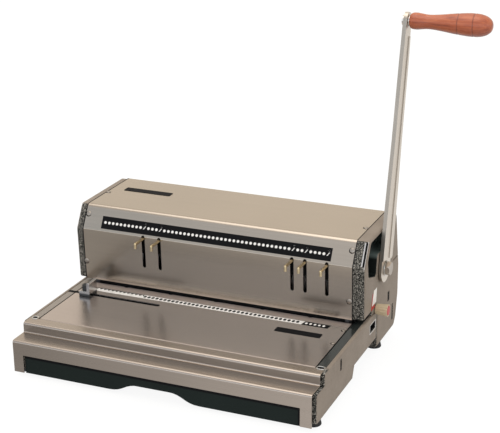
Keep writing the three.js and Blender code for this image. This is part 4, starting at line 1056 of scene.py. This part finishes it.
LOWER_SCALE_Y = 168.5
MARK_THICKNESS = 0.12
STROKE_HEIGHTS = (0.16, 0.28)
NUMERAL_SIZE = 3.2
NUMERAL_THICKNESS = 0.08
NUMERAL_HEIGHT = 0.18
PLATE_CORNER = 1.2
PLATE_HEIGHTS = (SUNK, 0.5)


def on_band(row, x, y, tall=1.0):
    """Moves a row of marks to its place on a scale's band and stretches it upwards."""
    place = Matrix.Translation(Vector((x, y, BAND_FILM)) / 1000)
    row.data.transform(place @ Matrix.Diagonal((1, tall, 1, 1)))
    return row


def dots(name, layout, finish, first, last, radius, y, shift=0.0, tall=1.0):
    """A dot for each hole from the first to the last."""
    row = laid_out(name, layout, finish, {
        "Count": last - first + 1, "Pitch": HOLE_PITCH, "Radius": radius, "Thickness": MARK_THICKNESS})
    return on_band(row, hole_x(first) + shift, y, tall)


def numeral(text, x, y):
    """A number on a scale, as a thin mesh in the drawing plane."""
    drawing = bpy.data.curves.new("numeral_" + text, "FONT")
    drawing.body = text
    drawing.size = NUMERAL_SIZE / 1000
    drawing.extrude = NUMERAL_THICKNESS / 2000
    drawing.align_x = "CENTER"
    drawing.resolution_u = 3
    holder = bpy.data.objects.new("numeral_" + text, drawing)
    bpy.context.scene.collection.objects.link(holder)
    mesh = bpy.data.meshes.new_from_object(holder.evaluated_get(bpy.context.evaluated_depsgraph_get()))
    bpy.data.objects.remove(holder)
    mesh.transform(Matrix.Translation((x / 1000, y / 1000, NUMERAL_HEIGHT / 1000)))
    return new_piece("numeral_" + text, mesh, "white")


def upper_scale(dot_row):
    """Black strip above the slots, with a white dot for each hole and a stroke for each release pull."""
    middle = 13.0
    ground = rectangle(-178.4, 171.6, middle - 9.3, middle + 9.1)
    strip = flat_plate("upper_scale_strip", "ink", ground, SUNK, BAND_FILM)
    marks = []
    first = 1
    for hole in (*PULLED_HOLES, HOLE_COUNT + 1):
        if hole > first:
            marks.append(dots("run", dot_row, "white", first, hole - 1, 2.05, middle))
        first = hole + 1
    for hole in PULLED_HOLES:
        x = hole_x(hole)
        low, high = middle - 2.2, middle + 2.4
        stroke = [(x - 2.3, low), (x - 0.9, low), (x + 2.1, high), (x + 0.7, high)]
        marks.append(flat_plate("stroke", "white", stroke, *STROKE_HEIGHTS))
        marks.append(numeral(str(hole), x + 0.4, middle + 4.1))
    whole = joined("upper_scale_marks", "white", marks)
    # The marks' own slot is empty, so they show in Blender's plain pale grey
    whole.data.materials[0] = None
    return [strip, whole]


def lower_scale(dot_row, tooth_row):
    """The table's scale: teeth at the left, then black dots on white, then white dots on black."""
    low, high, slant = -5.3, 5.3, 2.4
    left, right = -178.6, 178.3
    first_dark, last_dark = 13, 50
    shift = -HOLE_PITCH / 2
    split = hole_x(first_dark) - HOLE_PITCH
    change = hole_x(last_dark) + HOLE_PITCH / 2 + 3.0
    white = flat_plate("lower_scale_white", "white", [
        (left, low), (change - slant, low), (change, high), (split, high), (split, 0.4), (left, 0.4),
    ], SUNK, BAND_FILM)
    black = flat_plate("lower_scale_black", "ink", [
        (change - slant + 0.1, low), (right - 1.5, low), (right, high), (change + 0.1, high),
    ], SUNK, BAND_FILM)
    ground = rectangle(left, split - 0.1, 0.5, high)
    backing = flat_plate("lower_scale_backing", "ink", ground, SUNK, BAND_FILM - 0.02)
    teeth = laid_out("teeth", tooth_row, "white", {
        "Count": first_dark - 1, "Pitch": HOLE_PITCH, "Width": HOLE_PITCH * 0.92, "Height": 4.6,
        "Thickness": MARK_THICKNESS})
    on_band(teeth, hole_x(1) + shift, 1.8)
    dark = dots("lower_scale_dots", dot_row, "ink", first_dark, last_dark, 2.15, 0.2, shift, 1.6)
    pale = dots("pale", dot_row, "white", last_dark + 1, HOLE_COUNT + 1, 1.95, 0.0, shift, 1.4)
    return [
        joined("lower_scale_white_band", "white", [white, teeth, pale]),
        joined("lower_scale_black_band", "ink", [black, backing, dark]),
    ]


def bare_plate(name, x0, x1, y0, y1):
    """A dark plate without lettering, its corners cut off."""
    x2, x3, y2, y3 = x0 + PLATE_CORNER, x1 - PLATE_CORNER, y0 + PLATE_CORNER, y1 - PLATE_CORNER
    outline = [(x2, y0), (x3, y0), (x1, y2), (x1, y3), (x3, y1), (x2, y1), (x0, y3), (x0, y2)]
    return rounded_over(flat_plate(name, "ink", outline, *PLATE_HEIGHTS), 0.15, 1, 40)


def lay_prints():
    dot_row = dot_layout()
    for piece in upper_scale(dot_row):
        on_base(placed(piece, ON_FACET))
    for piece in lower_scale(dot_row, tooth_layout()):
        on_base(placed(piece, level_plane(TABLE_Z, LOWER_SCALE_Y)))
    on_base(placed(bare_plate("table_plate_blank", 112.4, 177.6, 130.9, 143.4), ON_TABLE))
    on_base(placed(bare_plate("top_plate_blank", -186.5, -111, 275.5, 289), ON_TOP))


# Small fittings that the model leaves to the dressing

DRAWER_FRONT = 3.0
STRIP_END = (45.6, 51.4)
STRIP_END_WALL = 2
SCREW = {"Head radius": 3.7, "Head height": 1.25, "Slot width": 0.8, "Slot depth": 1.2}
SCREW_SEED = 7
SCREW_SHADOW_RADIUS = 4.1
SCREW_SHADOW_SHIFT = (-0.35, -0.5)


def lay_joints():
    """Dark lines where sheets, strips and end covers meet, and at the guide slot and its run-out."""
    outline = filleted(HOUSING_LINE, HOUSING_BENDS)
    for end, x0, x1 in (("left", -207.5, -206.2), ("right", 202.6, 203.8)):
        on_base(ribbon("cover_joint_" + end, "ink", outline, x0, x1, FILM))
    for name, *sides in (
        ("slot_run_out", -213.2, -187, 145.6, 151.2),
        ("strip_joint_left", -202.3, -200.9, *TABLE_DEPTH),
        ("strip_joint_right", 202.2, 203.4, *TABLE_DEPTH),
    ):
        on_base(plate_on(ON_TABLE, name, "ink", rectangle(*sides), SUNK, FILM))
    rim = ring_plate("guide_slot_rim", "ink", rounded_box(*GUIDE_SLOT, 1.9), 1.4, SUNK, FILM)
    on_base(placed(rim, ON_TABLE))


def fit_strip_ends():
    """A bright clip at the front end of each table strip, around a dark plate that stands for its hole:
    painted shade.
    """
    for name, x0, x1 in (("strip_end_left", -213.4, -202.6), ("strip_end_right", 203.6, 216.2)):
        hole = rounded_box(x0 + STRIP_END_WALL, x1 - STRIP_END_WALL, *STRIP_END, 1.6)
        clip = placed(ring_plate(name, "chrome", hole, 1.5, -0.2, 0.7), ON_TABLE)
        on_base(rounded_over(clip, 0.25, 2, 40))
        on_base(plate_on(ON_TABLE, name + "_hole", "ink", hole, -0.2, 0.2))


def lay_beads():
    """A rolled bead and, beside it, a dark line of painted shade for a groove, along the front edge of the
    right end cover's facet.
    """
    facet = [Vector((187.4, 153.2)), Vector((203.6, 181.8))]
    bead = ribbon("edge_bead", "bead", facet, 214.4, 216.3, 0.7)
    on_base(rounded_over(bead, 0.45, 3, 40))
    on_base(ribbon("edge_groove_shade", "ink", facet, 216.3, 218.9, 0.1))


def line_drawer():
    """Painted shadow: dark strips at the top and right edge of the drawer's front, where the sheet's edge
    shades the recessed front.
    """
    for name, *sides in (
        ("drawer_shade_top", -198.9, 196.4, 28.0, 31.6),
        ("drawer_shade_right", 196.4, 198.6, 7, 31.6),
    ):
        shade_strip = plate_on(front_plane(DRAWER_FRONT), name, "ink", rectangle(*sides), SUNK, 0.15)
        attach(shade_strip, frame["nodes"]["chip_drawer"]["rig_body"])


def line_openings():
    """Painted shade: dark plates just inside the vents and slots of the end covers. Dark rims around two of
    them.
    """
    for kind, *sides in (
        ("vent", 91.5, 97.5, 44.5, 62), ("keyhole", 292, 301, 61, 77), ("heel", 312, 323, 22, 51),
    ):
        for end, x in (("right", RIGHT_FACE - 1.0), ("left", LEFT_FACE + 0.8)):
            on_base(plate_on(side_plane(x), f"{kind}_inner_shade_{end}", "ink", rectangle(*sides), -0.4, 0.4))
    for name, *sides in (("vent_rim", 93.2, 95.8, 46.5, 60), ("keyhole_rim", 293.8, 299.2, 63, 75)):
        on_base(placed(ring_plate(name, "ink", rectangle(*sides), 1.1, SUNK, 0.15), ON_RIGHT))


def label_margin():
    """The rim of the square port, and a bare white sticker with a red edge beside the margin knob."""
    rim = ring_plate("port_rim", "chrome", rectangle(213.4, 236.3, 45.7, 57.3), 1.3, SUNK, 0.5)
    on_base(placed(rounded_over(rim, 0.2, 1, 40), ON_RIGHT))
    white = flat_plate("margin_sticker", "white", [
        (220, 83.5), (238, 83.5), (241, 104), (228, 104)], 0.0, 0.3)
    on_base(placed(rounded_over(white, 0.1, 1, 40), ON_RIGHT))
    red = flat_plate("margin_sticker_edge", "red", [
        (216.6, 78), (232, 78), (232, 83.2), (219.6, 83.2), (225.5, 101), (222.6, 101)], 0.0, 0.3)
    on_base(placed(red, ON_RIGHT))


def fit_screws():
    """Two cover screws on each of four faces, with a painted shadow under each head: a dark ring, shifted a
    little.
    """
    layout = screw_layout()
    for name, plane, small, places in (
        ("facet_screws", ON_FACET, 1.0, [(-202.2, 22.8), (198.8, 22.8)]),
        ("panel_screws", ON_PANEL, 1.0, [(-204.3, 27.5), (199.1, 27.5)]),
        ("top_screws", ON_TOP, 1.0, [(-203.6, 260.6), (199.6, 253.9)]),
        ("table_screws", ON_TABLE, 0.75, [(199.4, 165.1), (199.6, 122.6)]),
    ):
        sizes = {label: value * small for label, value in SCREW.items()}
        screws = laid_out(name, layout, "screw", {**sizes, "Seed": SCREW_SEED}, places)
        on_base(placed(soften(screws, 50), plane))
        # Painted shadow: a dark ring under each head, shifted off its middle.
        rings = [
            flat_plate("ring", "ink", circle(
                x + SCREW_SHADOW_SHIFT[0], y + SCREW_SHADOW_SHIFT[1], SCREW_SHADOW_RADIUS * small, 24), SUNK, 0.16)
            for x, y in places]
        on_base(placed(joined(name.replace("screws", "screw_rings"), "ink", rings), plane))


make_camera()
make_world()
make_floor()
make_lamp("overhead", (-0.4, -0.2, 2.2), (0, 0, 0.1), size=(2.2, 1.6), power=12, colour=(1.0, 0.97, 0.92))
dress_nodes()
shape_sheets_and_covers()
shape_moving_pieces()
lay_prints()
lay_joints()
fit_strip_ends()
lay_beads()
line_drawer()
line_openings()
label_margin()
fit_screws()
